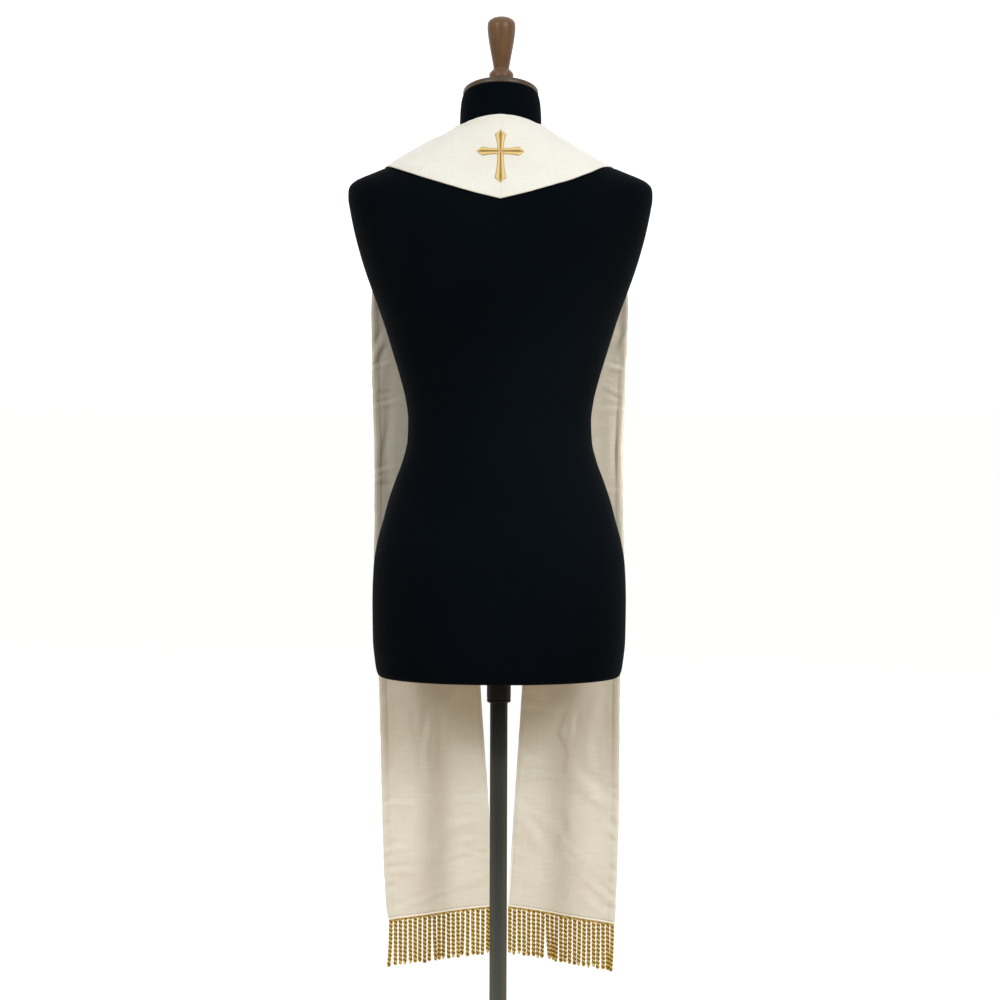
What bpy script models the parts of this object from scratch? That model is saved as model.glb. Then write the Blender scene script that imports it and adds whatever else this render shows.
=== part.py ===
"""Clerical stole on a dress form.

An ivory stole with a V-shaped back yoke, an embroidered cross and a bullion fringe hangs over
a black limbless form with a wooden neck cap and finial, on a pole and a round base.
Metres, +Z up, floor at z = 0. The wearer faces -Y, so the yoke and the cross face +Y.
"""
import math
from bisect import bisect_right
from collections import namedtuple
from random import Random

import bmesh
import bpy
from mathutils import Matrix, Vector
from mathutils.bvhtree import BVHTree

MM = 0.001
GAP = 0.3 * MM

# Walls of the cloth, and how far its inner face is kept from the form
FACE_WALL = 1.6 * MM
LINING_WALL = 1.0 * MM
YOKE_CLEARANCE = 1.2 * MM
BAND_CLEARANCE = 2.6 * MM

# Grid of the cloth: columns across it, and the turned edge that the lining stays inside, as a
# share of the width at the sides and in millimetres at the hem
COLUMNS = 9
EDGE_SHARE = 0.019
LINING_INSET = 2.6

# Stand
POLE_RADIUS = 11.5 * MM
COLLAR_RADIUS = 15.7 * MM
COLLAR_BOTTOM = 686 * MM
COLLAR_CHAMFER = 1.2 * MM

# Neck cap and finial
NECK_TILT = math.radians(19.5)
NECK_TILT_START = 1440
NECK_TOP = 1473.2
FINIAL_SHIFT = -0.7 * MM
FINIAL_CUTTER = 80 * MM

# Fringe
STRANDS = {"left": 22, "right": 23}
STRAND_LENGTH = 58 * MM
STRAND_UNEVEN = 3 * MM
STRAND_SHARE = 0.68
STRAND_DRIFT = (0.8 * MM, 2.0 * MM)
STRIP_HEIGHT = 3 * MM
STRIP_DEPTH = 3.4 * MM

# Cross, about its crossing
CROSS_HEIGHT_ON_BACK = 1399.8 * MM
CROSS_WALL = 1.0 * MM
ARM_ROOT = 3.9 * MM
YOKE_SLOPE = math.radians(18)

# Sections of the form, bottom to top, in millimetres
FormRow = namedtuple("FormRow", "z half_width front back squareness")
FORM = [
    FormRow(721.5, 155.5, 102.0, 108.0, 2.15),
    FormRow(723.4, 158.0, 105.0, 112.0, 2.15),
    FormRow(728.0, 159.8, 107.0, 114.5, 2.15),
    FormRow(743.0, 162.2, 109.5, 117.0, 2.15),
    FormRow(768.0, 164.6, 111.5, 119.5, 2.15),
    FormRow(820.0, 165.3, 113.0, 121.0, 2.15),
    FormRow(866.0, 163.6, 110.5, 119.0, 2.15),
    FormRow(898.0, 158.5, 106.0, 114.0, 2.15),
    FormRow(924.0, 151.5, 101.0, 107.0, 2.12),
    FormRow(950.0, 144.6, 95.5, 99.5, 2.10),
    FormRow(977.0, 135.4, 90.5, 92.0, 2.10),
    FormRow(1003.0, 125.8, 86.0, 87.0, 2.10),
    FormRow(1029.0, 120.0, 83.5, 84.0, 2.10),
    FormRow(1055.0, 119.0, 83.0, 82.0, 2.10),
    FormRow(1081.0, 122.2, 85.0, 83.5, 2.10),
    FormRow(1107.0, 128.6, 89.0, 86.5, 2.10),
    FormRow(1146.0, 140.3, 97.5, 91.5, 2.12),
    FormRow(1185.0, 152.6, 109.0, 96.0, 2.15),
    FormRow(1223.0, 166.4, 118.0, 99.0, 2.18),
    FormRow(1249.0, 175.6, 119.0, 100.0, 2.20),
    FormRow(1275.0, 183.3, 114.5, 99.5, 2.25),
    FormRow(1301.0, 189.8, 106.0, 97.0, 2.30),
    FormRow(1327.0, 194.8, 95.5, 91.5, 2.35),
    FormRow(1341.0, 196.9, 88.5, 86.8, 2.35),
    FormRow(1351.0, 196.7, 82.5, 83.0, 2.30),
    FormRow(1358.0, 194.2, 77.5, 79.5, 2.20),
    FormRow(1365.2, 185.6, 73.0, 76.0, 2.12),
    FormRow(1373.0, 167.3, 68.7, 72.8, 2.06),
    FormRow(1377.2, 157.0, 67.0, 71.3, 2.05),
    FormRow(1380.2, 149.5, 66.0, 70.6, 2.04),
    FormRow(1381.8, 139.5, 65.4, 70.0, 2.03),
    FormRow(1386.0, 132.0, 64.0, 68.9, 2.02),
    FormRow(1392.2, 121.0, 62.0, 67.3, 2.00),
    FormRow(1403.4, 102.0, 58.0, 63.0, 2.00),
    FormRow(1415.2, 82.0, 54.5, 59.0, 2.00),
    FormRow(1427.2, 63.0, 52.0, 54.5, 2.00),
    FormRow(1436.0, 52.8, 51.5, 51.5, 2.00),
    FormRow(1447.0, 52.5, 52.0, 49.5, 2.00),
    FormRow(1462.0, 51.4, 52.5, 45.5, 2.00),
    FormRow(1469.0, 50.2, 51.5, 43.0, 2.00),
    FormRow(NECK_TOP, 48.9, 50.5, 41.5, 2.00),
]
FORM_SECTORS = 36
FORM_STEP = 30

# Edges of one half of the stole from the centre back over the shoulder to the hem, in
# millimetres. The inner edge runs round the neck, the outer edge starts at the point of the V.
# cling is how closely the cloth follows the form, bow how far its middle stands out.
Station = namedtuple("Station", "along inner_x inner_y inner_z outer_x outer_y outer_z cling bow")
STATIONS = [
    Station(0, 0.0, 53.0, 1448.0, 0.0, 90.0, 1339.7, 1.0, 0.0),
    Station(40, 22.0, 49.0, 1445.5, 38.0, 87.0, 1349.7, 1.0, 0.0),
    Station(75, 39.5, 37.0, 1440.5, 76.0, 79.0, 1362.0, 1.0, 0.0),
    Station(105, 49.5, 19.0, 1435.0, 113.0, 57.0, 1371.5, 1.0, 0.0),
    Station(119, 51.8, 9.0, 1433.3, 132.5, 37.0, 1378.6, 1.0, 0.0),
    Station(131, 53.0, 0.0, 1432.0, 144.8, 12.0, 1382.0, 1.0, 0.0),
    Station(160, 55.5, -21.0, 1425.0, 149.5, -30.0, 1366.0, 1.0, 0.0),
    Station(195, 57.0, -43.0, 1408.0, 157.0, -53.0, 1336.0, 0.9, 0.0),
    Station(235, 57.0, -68.0, 1377.0, 164.5, -67.0, 1304.0, 0.7, 1.0),
    Station(280, 55.6, -94.0, 1335.0, 169.8, -76.0, 1268.0, 0.4, 3.0),
    Station(330, 53.6, -114.0, 1288.0, 170.8, -83.0, 1232.0, 0.15, 5.0),
    Station(385, 51.8, -124.0, 1234.0, 170.1, -87.0, 1190.0, 0.0, 6.0),
    Station(430, 50.5, -126.5, 1190.0, 169.2, -89.0, 1155.0, 0.0, 6.0),
    Station(505, 48.6, -128.0, 1115.0, 168.1, -90.0, 1096.0, 0.0, 5.0),
    Station(606, 45.4, -129.0, 1014.0, 165.2, -91.0, 1008.0, 0.0, 4.5),
    Station(702, 41.2, -129.5, 918.0, 165.4, -92.0, 918.0, 0.0, 4.0),
    Station(744, 39.0, -130.0, 876.0, 166.6, -92.0, 876.0, 0.0, 4.0),
    Station(930, 28.1, -130.0, 690.0, 160.6, -93.0, 690.0, 0.0, 3.5),
    Station(1079, 18.2, -130.5, 541.0, 158.5, -94.0, 541.0, 0.0, 3.0),
    Station(1208, 9.5, -131.0, 411.0, 153.9, -95.0, 400.0, 0.0, 2.0),
    Station(1229, 8.0, -131.0, 390.0, 151.9, -95.0, 377.9, 0.0, 2.0),
]
CLINGING_STEP = 13
HANGING_STEP = 30
HANGING_FROM = 385
FOLDING_FROM = 235
FOLDING_REACH = 200
LINING_FROM = 200
LINING_EASE = 50
LIFTS = 3

# How each half lies over its shoulder: how high it rolls up from the form, in millimetres, and
# the share of its width that it gives up there
Shoulder = namedtuple("Shoulder", "rise narrowing")
SHOULDERS = {"left": Shoulder(3.8, -0.02), "right": Shoulder(0.0, 0.03)}
SHOULDER_AT = 128
ROLL_REACH = 85
ROLL_FULL_FROM = 0.53
ROLL_FULL_TO = 0.875
CORNER_REACH = 40

# Sway of both bands towards -X at each height: at their inner and their outer edges, in
# millimetres
SwayRow = namedtuple("SwayRow", "z inner outer")
SWAY = [
    SwayRow(378, 4.4, 4.6),
    SwayRow(402, 4.4, 3.4),
    SwayRow(541, 3.9, 2.6),
    SwayRow(690, 3.2, 0.9),
    SwayRow(900, 0.8, -0.6),
    SwayRow(1050, -0.8, -1.3),
    SwayRow(1200, -0.4, -0.4),
    SwayRow(1380, 0.0, 0.0),
]

# How much lower each hem's outer corner lies than in the stations, in millimetres
HEM_DROP = {"left": 0.0, "right": 4.9}
HEM_DROP_FROM = 980

# Soft folds down the bands: place across the band from 0, the inner edge, to 1, the outer,
# half their width in the same measure, how far they stand out, and the heights where they
# begin to fade, in millimetres
Fold = namedtuple("Fold", "side place spread depth top bottom")
FOLDS = [
    Fold("left", 0.47, 0.20, 4.2, 1130, 430),
    Fold("left", 0.80, 0.13, -2.4, 980, 520),
    Fold("left", 0.17, 0.13, -2.0, 820, 330),
    Fold("right", 0.42, 0.18, 4.0, 1130, 360),
    Fold("right", 0.72, 0.14, -2.8, 1040, 480),
    Fold("right", 0.13, 0.12, -1.6, 760, 330),
]
FOLD_FADE = 110

# Turned pieces, each down its outer side, in millimetres: the finial and the base by their
# height, the neck cap by its height above the neck
TurnedRow = namedtuple("TurnedRow", "radius z")
FINIAL = [
    TurnedRow(0.0, 1576.2),
    TurnedRow(6.0, 1575.6),
    TurnedRow(10.5, 1574.0),
    TurnedRow(14.3, 1571.8),
    TurnedRow(16.8, 1569.2),
    TurnedRow(18.1, 1565.2),
    TurnedRow(18.1, 1559.0),
    TurnedRow(16.7, 1546.3),
    TurnedRow(14.4, 1533.5),
    TurnedRow(12.0, 1521.0),
    TurnedRow(10.4, 1512.0),
    TurnedRow(10.1, 1509.6),
    TurnedRow(11.2, 1507.6),
    TurnedRow(13.9, 1505.2),
    TurnedRow(15.6, 1502.6),
    TurnedRow(15.9, 1499.6),
    TurnedRow(15.0, 1495.8),
    TurnedRow(12.2, 1493.4),
    TurnedRow(10.5, 1492.2),
    TurnedRow(10.5, 1474.0),
    TurnedRow(0.0, 1474.0),
]
NECK_CAP = [
    TurnedRow(0.0, 8.4),
    TurnedRow(15.0, 8.4),
    TurnedRow(34.0, 8.0),
    TurnedRow(47.1, 7.4),
    TurnedRow(48.2, 6.5),
    TurnedRow(48.5, 5.3),
    TurnedRow(48.2, 0.8),
    TurnedRow(47.3, 0.0),
    TurnedRow(0.0, 0.0),
]
BASE = [
    TurnedRow(0.0, 14.0),
    TurnedRow(25.0, 14.0),
    TurnedRow(102.0, 11.8),
    TurnedRow(160.0, 8.4),
    TurnedRow(163.6, 7.0),
    TurnedRow(165.0, 4.8),
    TurnedRow(165.0, 1.6),
    TurnedRow(163.4, 0.0),
    TurnedRow(0.0, 0.0),
]

# Arms of the cross: length to the tip, where the shoulders are, half width of the shoulders
Arm = namedtuple("Arm", "name angle length shoulder half_width")
ARMS = [
    Arm("upper", 90, 29.3, 22.4, 7.3),
    Arm("side", 0, 30.7, 23.0, 6.1),
    Arm("lower", 270, 42.2, 36.2, 7.2),
    Arm("side", 180, 30.7, 23.0, 6.1),
]
ARM_ROWS = 4


# ------------------------------------------------------------------ tools

def clear_scene():
    for item in list(bpy.data.objects):
        bpy.data.objects.remove(item, do_unlink=True)


def new_collection(name):
    collection = bpy.data.collections.new(name)
    bpy.context.scene.collection.children.link(collection)
    return collection


def new_material(name, colour, roughness, metallic=0.0):
    material = bpy.data.materials.new(name)
    material.use_nodes = True
    surface = material.node_tree.nodes["Principled BSDF"]
    surface.inputs["Base Color"].default_value = (*colour, 1.0)
    surface.inputs["Roughness"].default_value = roughness
    surface.inputs["Metallic"].default_value = metallic
    return material


def new_object(name, mesh, collection, material):
    item = bpy.data.objects.new(name, mesh)
    mesh.materials.append(material)
    collection.objects.link(item)
    return item


def mesh_from(name, build):
    """A mesh filled by build(bmesh)."""
    work = bmesh.new()
    build(work)
    mesh = bpy.data.meshes.new(name)
    work.to_mesh(mesh)
    work.free()
    return mesh


def slope_at(table, index, column):
    """Slope of a column at a row, limited so that the curve never overshoots its rows."""
    last = len(table) - 1
    slopes = []
    spans = []
    for low in (index - 1, index):
        if 0 <= low < last:
            span = table[low + 1][0] - table[low][0]
            spans.append(span)
            slopes.append((table[low + 1][column] - table[low][column]) / span)
    if len(slopes) == 1:
        return slopes[0]
    before, after = slopes
    if before * after <= 0:
        return 0.0
    near_after = 2 * spans[1] + spans[0]
    near_before = spans[1] + 2 * spans[0]
    return (near_after + near_before) / (near_after / before + near_before / after)


def row_at(table, key):
    """The table's row at a key in its first column, eased between the rows beside it."""
    keys = [row[0] for row in table]
    index = min(max(bisect_right(keys, key) - 1, 0), len(table) - 2)
    span = keys[index + 1] - keys[index]
    t = min(max((key - keys[index]) / span, 0.0), 1.0)
    values = [key]
    for column in range(1, len(table[0])):
        start = table[index][column]
        end = table[index + 1][column]
        leave = slope_at(table, index, column) * span
        arrive = slope_at(table, index + 1, column) * span
        values.append(
            start * (1 + 2 * t) * (1 - t) ** 2
            + leave * t * (1 - t) ** 2
            + end * t * t * (3 - 2 * t)
            + arrive * t * t * (t - 1)
        )
    return type(table[0])(*values)


def eased(t):
    t = min(max(t, 0.0), 1.0)
    return t * t * (3 - 2 * t)


def turned(name, profile, collection, material, steps):
    """A solid turned about Z from (radius, z) points that run down its outer side."""
    def build(work):
        points = [work.verts.new((radius, 0.0, z)) for radius, z in profile]
        for upper, lower in zip(points, points[1:]):
            work.edges.new((upper, lower))

    item = new_object(name, mesh_from(name, build), collection, material)
    screw = item.modifiers.new("turn", "SCREW")
    screw.steps = steps
    screw.render_steps = steps
    screw.use_merge_vertices = True
    screw.merge_threshold = 0.00001
    return item


def solidify(item, thickness, offset):
    wall = item.modifiers.new("wall", "SOLIDIFY")
    wall.thickness = thickness
    wall.offset = offset
    wall.use_even_offset = True
    return item


# ------------------------------------------------------------------ dress form

def form_ring(z):
    """Points of the form's section at a height given in millimetres."""
    row = row_at(FORM, z)
    centre = (row.back - row.front) / 2
    depth = (row.back + row.front) / 2
    power = 2 / row.squareness
    tilt = math.tan(NECK_TILT) * eased((z - NECK_TILT_START) / (NECK_TOP - NECK_TILT_START))
    ring = []
    for sector in range(FORM_SECTORS):
        angle = math.tau * sector / FORM_SECTORS
        across = math.copysign(abs(math.cos(angle)) ** power, math.cos(angle))
        deep = math.copysign(abs(math.sin(angle)) ** power, math.sin(angle))
        y = centre + depth * deep
        ring.append(Vector((row.half_width * across, y, z + (y - centre) * tilt)) * MM)
    return ring


def form_heights():
    heights = []
    for low, high in zip(FORM, FORM[1:]):
        steps = math.ceil((high.z - low.z) / FORM_STEP)
        heights += [low.z + (high.z - low.z) * step / steps for step in range(steps)]
    return heights + [FORM[-1].z]


def make_form(collection):
    def build(work):
        rings = []
        for z in form_heights():
            rings.append([work.verts.new(point) for point in form_ring(z)])
        for lower, upper in zip(rings, rings[1:]):
            for sector in range(FORM_SECTORS):
                following = (sector + 1) % FORM_SECTORS
                work.faces.new((lower[sector], lower[following], upper[following], upper[sector]))
        work.faces.new(reversed(rings[0]))
        work.faces.new(rings[-1])

    cloth = new_material("black_jersey", (0.006, 0.008, 0.011), 0.85)
    form = new_object("form_body", mesh_from("form_body", build), collection, cloth)
    form.data.shade_smooth()
    form.data.set_sharp_from_angle(angle=math.radians(50))
    return form


def neck_frame():
    """Placement of the neck's tilted top face."""
    top = row_at(FORM, NECK_TOP)
    centre = Vector((0.0, (top.back - top.front) / 2, NECK_TOP)) * MM
    return Matrix.Translation(centre) @ Matrix.Rotation(NECK_TILT, 4, "X")


def make_neck_cap(collection, wood):
    profile = [(row.radius * MM, row.z * MM + GAP) for row in NECK_CAP]
    cap = turned("neck_cap", profile, collection, wood, 32)
    cap.matrix_world = neck_frame()
    return cap


def make_finial(collection, cutters, wood):
    """A turned knob whose foot is cut to the slope of the cap."""
    profile = [(row.radius * MM, row.z * MM) for row in FINIAL]
    finial = turned("finial", profile, collection, wood, 24)
    seat = neck_frame()
    finial.location = (FINIAL_SHIFT, seat.translation.y, 0.0)

    work = bmesh.new()
    bmesh.ops.create_cube(work, size=FINIAL_CUTTER)
    mesh = bpy.data.meshes.new("finial_cutter")
    work.to_mesh(mesh)
    work.free()
    cutter = bpy.data.objects.new("finial_cutter", mesh)
    cutters.objects.link(cutter)
    foot = NECK_CAP[0].z * MM + 2 * GAP
    cutter.matrix_world = seat @ Matrix.Translation((0.0, 0.0, foot - FINIAL_CUTTER / 2))
    cutter.hide_render = True
    cutter.display_type = "WIRE"
    cut = finial.modifiers.new("foot", "BOOLEAN")
    cut.operation = "DIFFERENCE"
    cut.object = cutter
    return finial


def make_stand(collection):
    steel = new_material("gunmetal", (0.06, 0.06, 0.052), 0.42, 0.8)
    black = new_material("black_metal", (0.012, 0.012, 0.011), 0.45, 0.3)
    base = turned("base", [(row.radius * MM, row.z * MM) for row in BASE], collection, black, 40)

    bottom = BASE[0].z * MM + GAP
    top = FORM[0].z * MM - GAP
    profile = [(0.0, top), (POLE_RADIUS, top), (POLE_RADIUS, bottom), (0.0, bottom)]
    pole = turned("pole", profile, collection, steel, 24)

    bore = POLE_RADIUS + GAP
    profile = [
        (bore, top),
        (COLLAR_RADIUS - COLLAR_CHAMFER, top),
        (COLLAR_RADIUS, top - COLLAR_CHAMFER),
        (COLLAR_RADIUS, COLLAR_BOTTOM + COLLAR_CHAMFER),
        (COLLAR_RADIUS - COLLAR_CHAMFER, COLLAR_BOTTOM),
        (bore, COLLAR_BOTTOM),
        (bore, top),
    ]
    collar = turned("collar", profile, collection, black, 24)
    for item in (base, pole, collar):
        item.data.shade_smooth()


# ------------------------------------------------------------------ stole

def fold_offset(side, place, z):
    """How far the band's folds stand out at a place across it and a height, in millimetres."""
    offset = 0.0
    for fold in FOLDS:
        if fold.side != side:
            continue
        nearness = max(0.0, 1 - abs(place - fold.place) / (2 * fold.spread))
        fade = eased((fold.top - z) / FOLD_FADE) * eased((z - fold.bottom) / FOLD_FADE + 1)
        offset += fold.depth * eased(nearness) * fade
    return offset


def on_shoulder(along, reach):
    """1 on the ridge of the shoulder, 0 at the reach from it and beyond."""
    return eased(1 - abs(along - SHOULDER_AT) / reach)


def least_clearance(along):
    """How near the inner face of the cloth may come to the form, with room for the lining."""
    lined = eased((along - LINING_FROM) / LINING_EASE + 1)
    return YOKE_CLEARANCE + (BAND_CLEARANCE - YOKE_CLEARANCE) * lined


def clearance_at(side, along, place):
    """How far the inner face is kept from the form, with the roll on the shoulder."""
    roll = eased(place / ROLL_FULL_FROM) * eased((1 - place) / (1 - ROLL_FULL_TO))
    return least_clearance(along) + SHOULDERS[side].rise * MM * on_shoulder(along, ROLL_REACH) * roll


def stole_point(side, along, place):
    """A point of the cloth's inner face, before it is laid on the form."""
    row = row_at(STATIONS, along)
    inner = Vector((row.inner_x, row.inner_y, row.inner_z))
    outer = Vector((row.outer_x, row.outer_y, row.outer_z))
    narrowing = SHOULDERS[side].narrowing * on_shoulder(along, CORNER_REACH)
    outer = outer.lerp(inner, narrowing)
    length = STATIONS[-1].along
    outer.z -= HEM_DROP[side] * eased((along - HEM_DROP_FROM) / (length - HEM_DROP_FROM))
    point = inner.lerp(outer, place)
    across = outer - inner
    outward = Vector((across.y, -across.x, 0.0)).normalized()
    hang = eased((along - FOLDING_FROM) / FOLDING_REACH)
    stand_out = 4 * row.bow * place * (1 - place)
    stand_out += hang * fold_offset(side, place, point.z)
    point += outward * stand_out
    point.x = max(point.x, 0.5 * GAP / MM)
    sway = row_at(SWAY, max(point.z, SWAY[0].z))
    hand = 1 if side == "left" else -1
    point.x = hand * point.x - sway.inner - (sway.outer - sway.inner) * place
    return point * MM


def laid_on(form_tree, point, clearance, cling):
    """The point drawn to the form as closely as cling says, and never nearer than clearance."""
    spot, normal, _, _ = form_tree.find_nearest(point)
    lifted = spot + normal * clearance
    if (point - spot).dot(normal) < clearance:
        return lifted
    return point.lerp(lifted, cling)


def stole_stops():
    """Distances along the stole where a row of points lies; the last two bound the hem."""
    stops = []
    along = 0.0
    length = STATIONS[-1].along
    while length - along > HANGING_STEP / 2:
        stops.append(along)
        along += CLINGING_STEP if along < HANGING_FROM else HANGING_STEP
    return stops + [length - LINING_INSET, length]


def stole_places():
    """Places across the stole, 0 to 1; the first and last two bound the turned edges."""
    middle = [column / COLUMNS for column in range(1, COLUMNS)]
    return [0.0, EDGE_SHARE] + middle + [1 - EDGE_SHARE, 1.0]


def lift_cells(grid, stops, form_tree):
    """Move the corners of any cell whose middle lies too near the form."""
    for along, upper, lower in zip(stops, grid, grid[1:]):
        for column in range(len(upper) - 1):
            corners = (upper[column], upper[column + 1], lower[column], lower[column + 1])
            middle = sum(corners, Vector()) / 4
            spot, normal, _, _ = form_tree.find_nearest(middle)
            shortage = least_clearance(along) - (middle - spot).dot(normal)
            if shortage > 0:
                for corner in corners:
                    corner += normal * shortage


def stole_grid(side, form_tree):
    """Rows of points of the inner face, from the centre back to the hem."""
    grid = []
    stops = stole_stops()
    for along in stops:
        cling = row_at(STATIONS, along).cling
        row = []
        for place in stole_places():
            clearance = clearance_at(side, along, place)
            row.append(laid_on(form_tree, stole_point(side, along, place), clearance, cling))
        grid.append(row)
    for _ in range(LIFTS):
        lift_cells(grid, stops, form_tree)
    for point in grid[0]:
        point.x = 0.5 * GAP if side == "left" else -0.5 * GAP
    return grid


def grid_mesh(name, grid, outward_first):
    """An open mesh of triangles through rows of points, facing the outer side."""
    def build(work):
        rows = [[work.verts.new(point) for point in row] for row in grid]
        for upper, lower in zip(rows, rows[1:]):
            for column in range(len(upper) - 1):
                near, far = (upper[column], lower[column]), (upper[column + 1], lower[column + 1])
                for corners in ((near[0], near[1], far[1]), (near[0], far[1], far[0])):
                    work.faces.new(corners if outward_first else tuple(reversed(corners)))
        work.normal_update()

    return mesh_from(name, build)


def make_stole_half(side, grid, collection, ivory):
    name = f"stole_{side}"
    mesh = grid_mesh(name, grid, side == "left")
    half = new_object(name, mesh, collection, ivory)
    mesh.shade_smooth()
    return solidify(half, FACE_WALL, 1.0)


def make_lining(side, grid, collection, beige):
    """The lining of a hanging band, inside the turned edges of the face cloth."""
    name = f"lining_{side}"
    lined = [row[1:-1] for along, row in zip(stole_stops(), grid) if along >= LINING_FROM]
    mesh = grid_mesh(name, lined[:-1], side == "left")
    normals = [vertex.normal.copy() for vertex in mesh.vertices]
    for vertex, normal in zip(mesh.vertices, normals):
        vertex.co -= normal * GAP
    lining = new_object(name, mesh, collection, beige)
    mesh.shade_smooth()
    return solidify(lining, LINING_WALL, -1.0)


# ------------------------------------------------------------------ fringe

def hem_point(grid, place, drop):
    """A point under the hem, halfway through the face cloth's wall."""
    hem = grid[-1]
    position = place * (len(hem) - 1)
    index = min(int(position), len(hem) - 2)
    point = hem[index].lerp(hem[index + 1], position - index)
    across = (hem[-1] - hem[0]).normalized()
    outward = Vector((across.y, -across.x, 0.0)).normalized()
    if outward.y > 0:
        outward.negate()
    return point + outward * FACE_WALL / 2 - Vector((0.0, 0.0, drop))


def make_fringe(side, grid, collection, gold):
    """Bullion strands that hang from a narrow strip under the hem."""
    name = f"fringe_{side}"
    chance = Random(7 if side == "left" else 11)
    margin = (1 - STRAND_SHARE) / 2
    strands = STRANDS[side]
    places = [0.0]
    for strand in range(strands):
        places += [(strand + margin) / strands, (strand + 1 - margin) / strands]
    places.append(1.0)

    def build(work):
        rows = []
        for drop in (GAP, GAP + STRIP_HEIGHT):
            rows.append([work.verts.new(hem_point(grid, place, drop)) for place in places])
        for column in range(len(places) - 1):
            corners = (rows[0][column], rows[1][column], rows[1][column + 1], rows[0][column + 1])
            work.faces.new(corners if side == "left" else tuple(reversed(corners)))
        work.normal_update()
        for row in rows:
            for vertex in row:
                vertex.co += vertex.normal * STRIP_DEPTH / 2
        bmesh.ops.solidify(work, geom=work.faces[:], thickness=STRIP_DEPTH)
        work.normal_update()
        bottoms = [face for face in work.faces if face.normal.z < -0.9]
        bottoms.sort(key=lambda face: abs(face.calc_center_median().x))
        roots = bottoms[1::2]
        ends = bmesh.ops.extrude_discrete_faces(work, faces=roots)["faces"]
        for end in ends:
            length = STRAND_LENGTH + chance.uniform(-STRAND_UNEVEN, STRAND_UNEVEN)
            sideways, forwards = (chance.uniform(-drift, drift) for drift in STRAND_DRIFT)
            move = Vector((sideways, forwards, -length))
            bmesh.ops.translate(work, verts=end.verts, vec=move)
        bmesh.ops.recalc_face_normals(work, faces=work.faces[:])

    return new_object(name, mesh_from(name, build), collection, gold)


# ------------------------------------------------------------------ cross

def arm_rows(arm):
    """(distance from the crossing, half width) down one arm, from its root to its tip."""
    rows = []
    for step in range(1, ARM_ROWS + 1):
        t = step / ARM_ROWS
        distance = ARM_ROOT + (arm.shoulder * MM - ARM_ROOT) * t
        rows.append((distance, ARM_ROOT + (arm.half_width * MM - ARM_ROOT) * t ** 2))
    return rows


def on_yoke(trees, across, up):
    """A point of the yoke's outer side and its normal, across and up from the crossing."""
    x = math.copysign(max(abs(across), GAP), across)
    start = Vector((x, 0.3, CROSS_HEIGHT_ON_BACK + up * math.cos(YOKE_SLOPE)))
    for tree in trees:
        spot, normal, _, _ = tree.ray_cast(start, Vector((0.0, -1.0, 0.0)))
        if spot is not None and spot.y > 0:
            return Vector((across, spot.y, spot.z)) + normal * GAP * 1.5
    raise ValueError("the cross lies past the edge of the yoke")


def make_cross(halves, collection, gold):
    graph = bpy.context.evaluated_depsgraph_get()
    trees = [BVHTree.FromObject(half, graph) for half in halves]

    def build(work):
        def vertex(across, up):
            return work.verts.new(on_yoke(trees, across, up))

        centre = vertex(0.0, 0.0)
        corners = [vertex(ARM_ROOT * x, ARM_ROOT * y) for x, y in ((1, 1), (-1, 1), (-1, -1), (1, -1))]
        middles = {}
        for arm in ARMS:
            turn = math.radians(arm.angle)
            middles[arm.angle] = vertex(ARM_ROOT * math.cos(turn), ARM_ROOT * math.sin(turn))
        for quarter, corner in enumerate(corners):
            before = middles[quarter * 90]
            after = middles[(quarter * 90 + 90) % 360]
            work.faces.new((centre, before, corner, after))
        for arm in ARMS:
            turn = math.radians(arm.angle)
            along = Vector((math.cos(turn), math.sin(turn)))
            left = Vector((-along.y, along.x))
            quarter = arm.angle // 90
            last = (corners[quarter - 1], middles[arm.angle], corners[quarter])
            for distance, half_width in arm_rows(arm):
                spots = [along * distance + left * half_width * place for place in (-1, 0, 1)]
                row = tuple(vertex(spot.x, spot.y) for spot in spots)
                work.faces.new((last[0], row[0], row[1], last[1]))
                work.faces.new((last[1], row[1], row[2], last[2]))
                last = row
            tip_spot = along * arm.length * MM
            tip = vertex(tip_spot.x, tip_spot.y)
            work.faces.new((last[0], tip, last[1]))
            work.faces.new((last[1], tip, last[2]))
        bmesh.ops.recalc_face_normals(work, faces=work.faces[:])
        if sum((face.normal.y for face in work.faces)) < 0:
            bmesh.ops.reverse_faces(work, faces=work.faces[:])

    cross = new_object("embroidered_cross", mesh_from("embroidered_cross", build), collection, gold)
    return solidify(cross, CROSS_WALL, 1.0)


# ------------------------------------------------------------------ whole object

def main():
    clear_scene()
    parts = new_collection("clerical_stole_on_dress_form")
    cutters = new_collection("cutters")
    ivory = new_material("ivory_weave", (0.86, 0.83, 0.74), 0.75)
    beige = new_material("beige_lining", (0.63, 0.55, 0.43), 0.7)
    gold = new_material("gold_thread", (0.70, 0.47, 0.17), 0.45, 0.3)
    wood = new_material("stained_wood", (0.14, 0.08, 0.045), 0.5)

    form = make_form(parts)
    make_neck_cap(parts, wood).data.shade_smooth()
    make_finial(parts, cutters, wood).data.shade_smooth()
    make_stand(parts)

    bpy.context.view_layer.update()
    form_tree = BVHTree.FromObject(form, bpy.context.evaluated_depsgraph_get())
    halves = []
    for side in ("left", "right"):
        grid = stole_grid(side, form_tree)
        halves.append(make_stole_half(side, grid, parts, ivory))
        make_lining(side, grid, parts, beige)
        make_fringe(side, grid, parts, gold)
    bpy.context.view_layer.update()
    make_cross(halves, parts, gold)


main()
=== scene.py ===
"""Looks of the clerical stole on its dress form.

The stole's two halves, their linings, the bullion fringe, the embroidered cross, the jersey
form, the turned wood and the stand, each with its own finish. Metres, +Z up, the wearer faces
-Y, so the yoke and the cross face +Y.
"""

import math
from bisect import bisect_right
from collections import namedtuple
from random import Random

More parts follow.
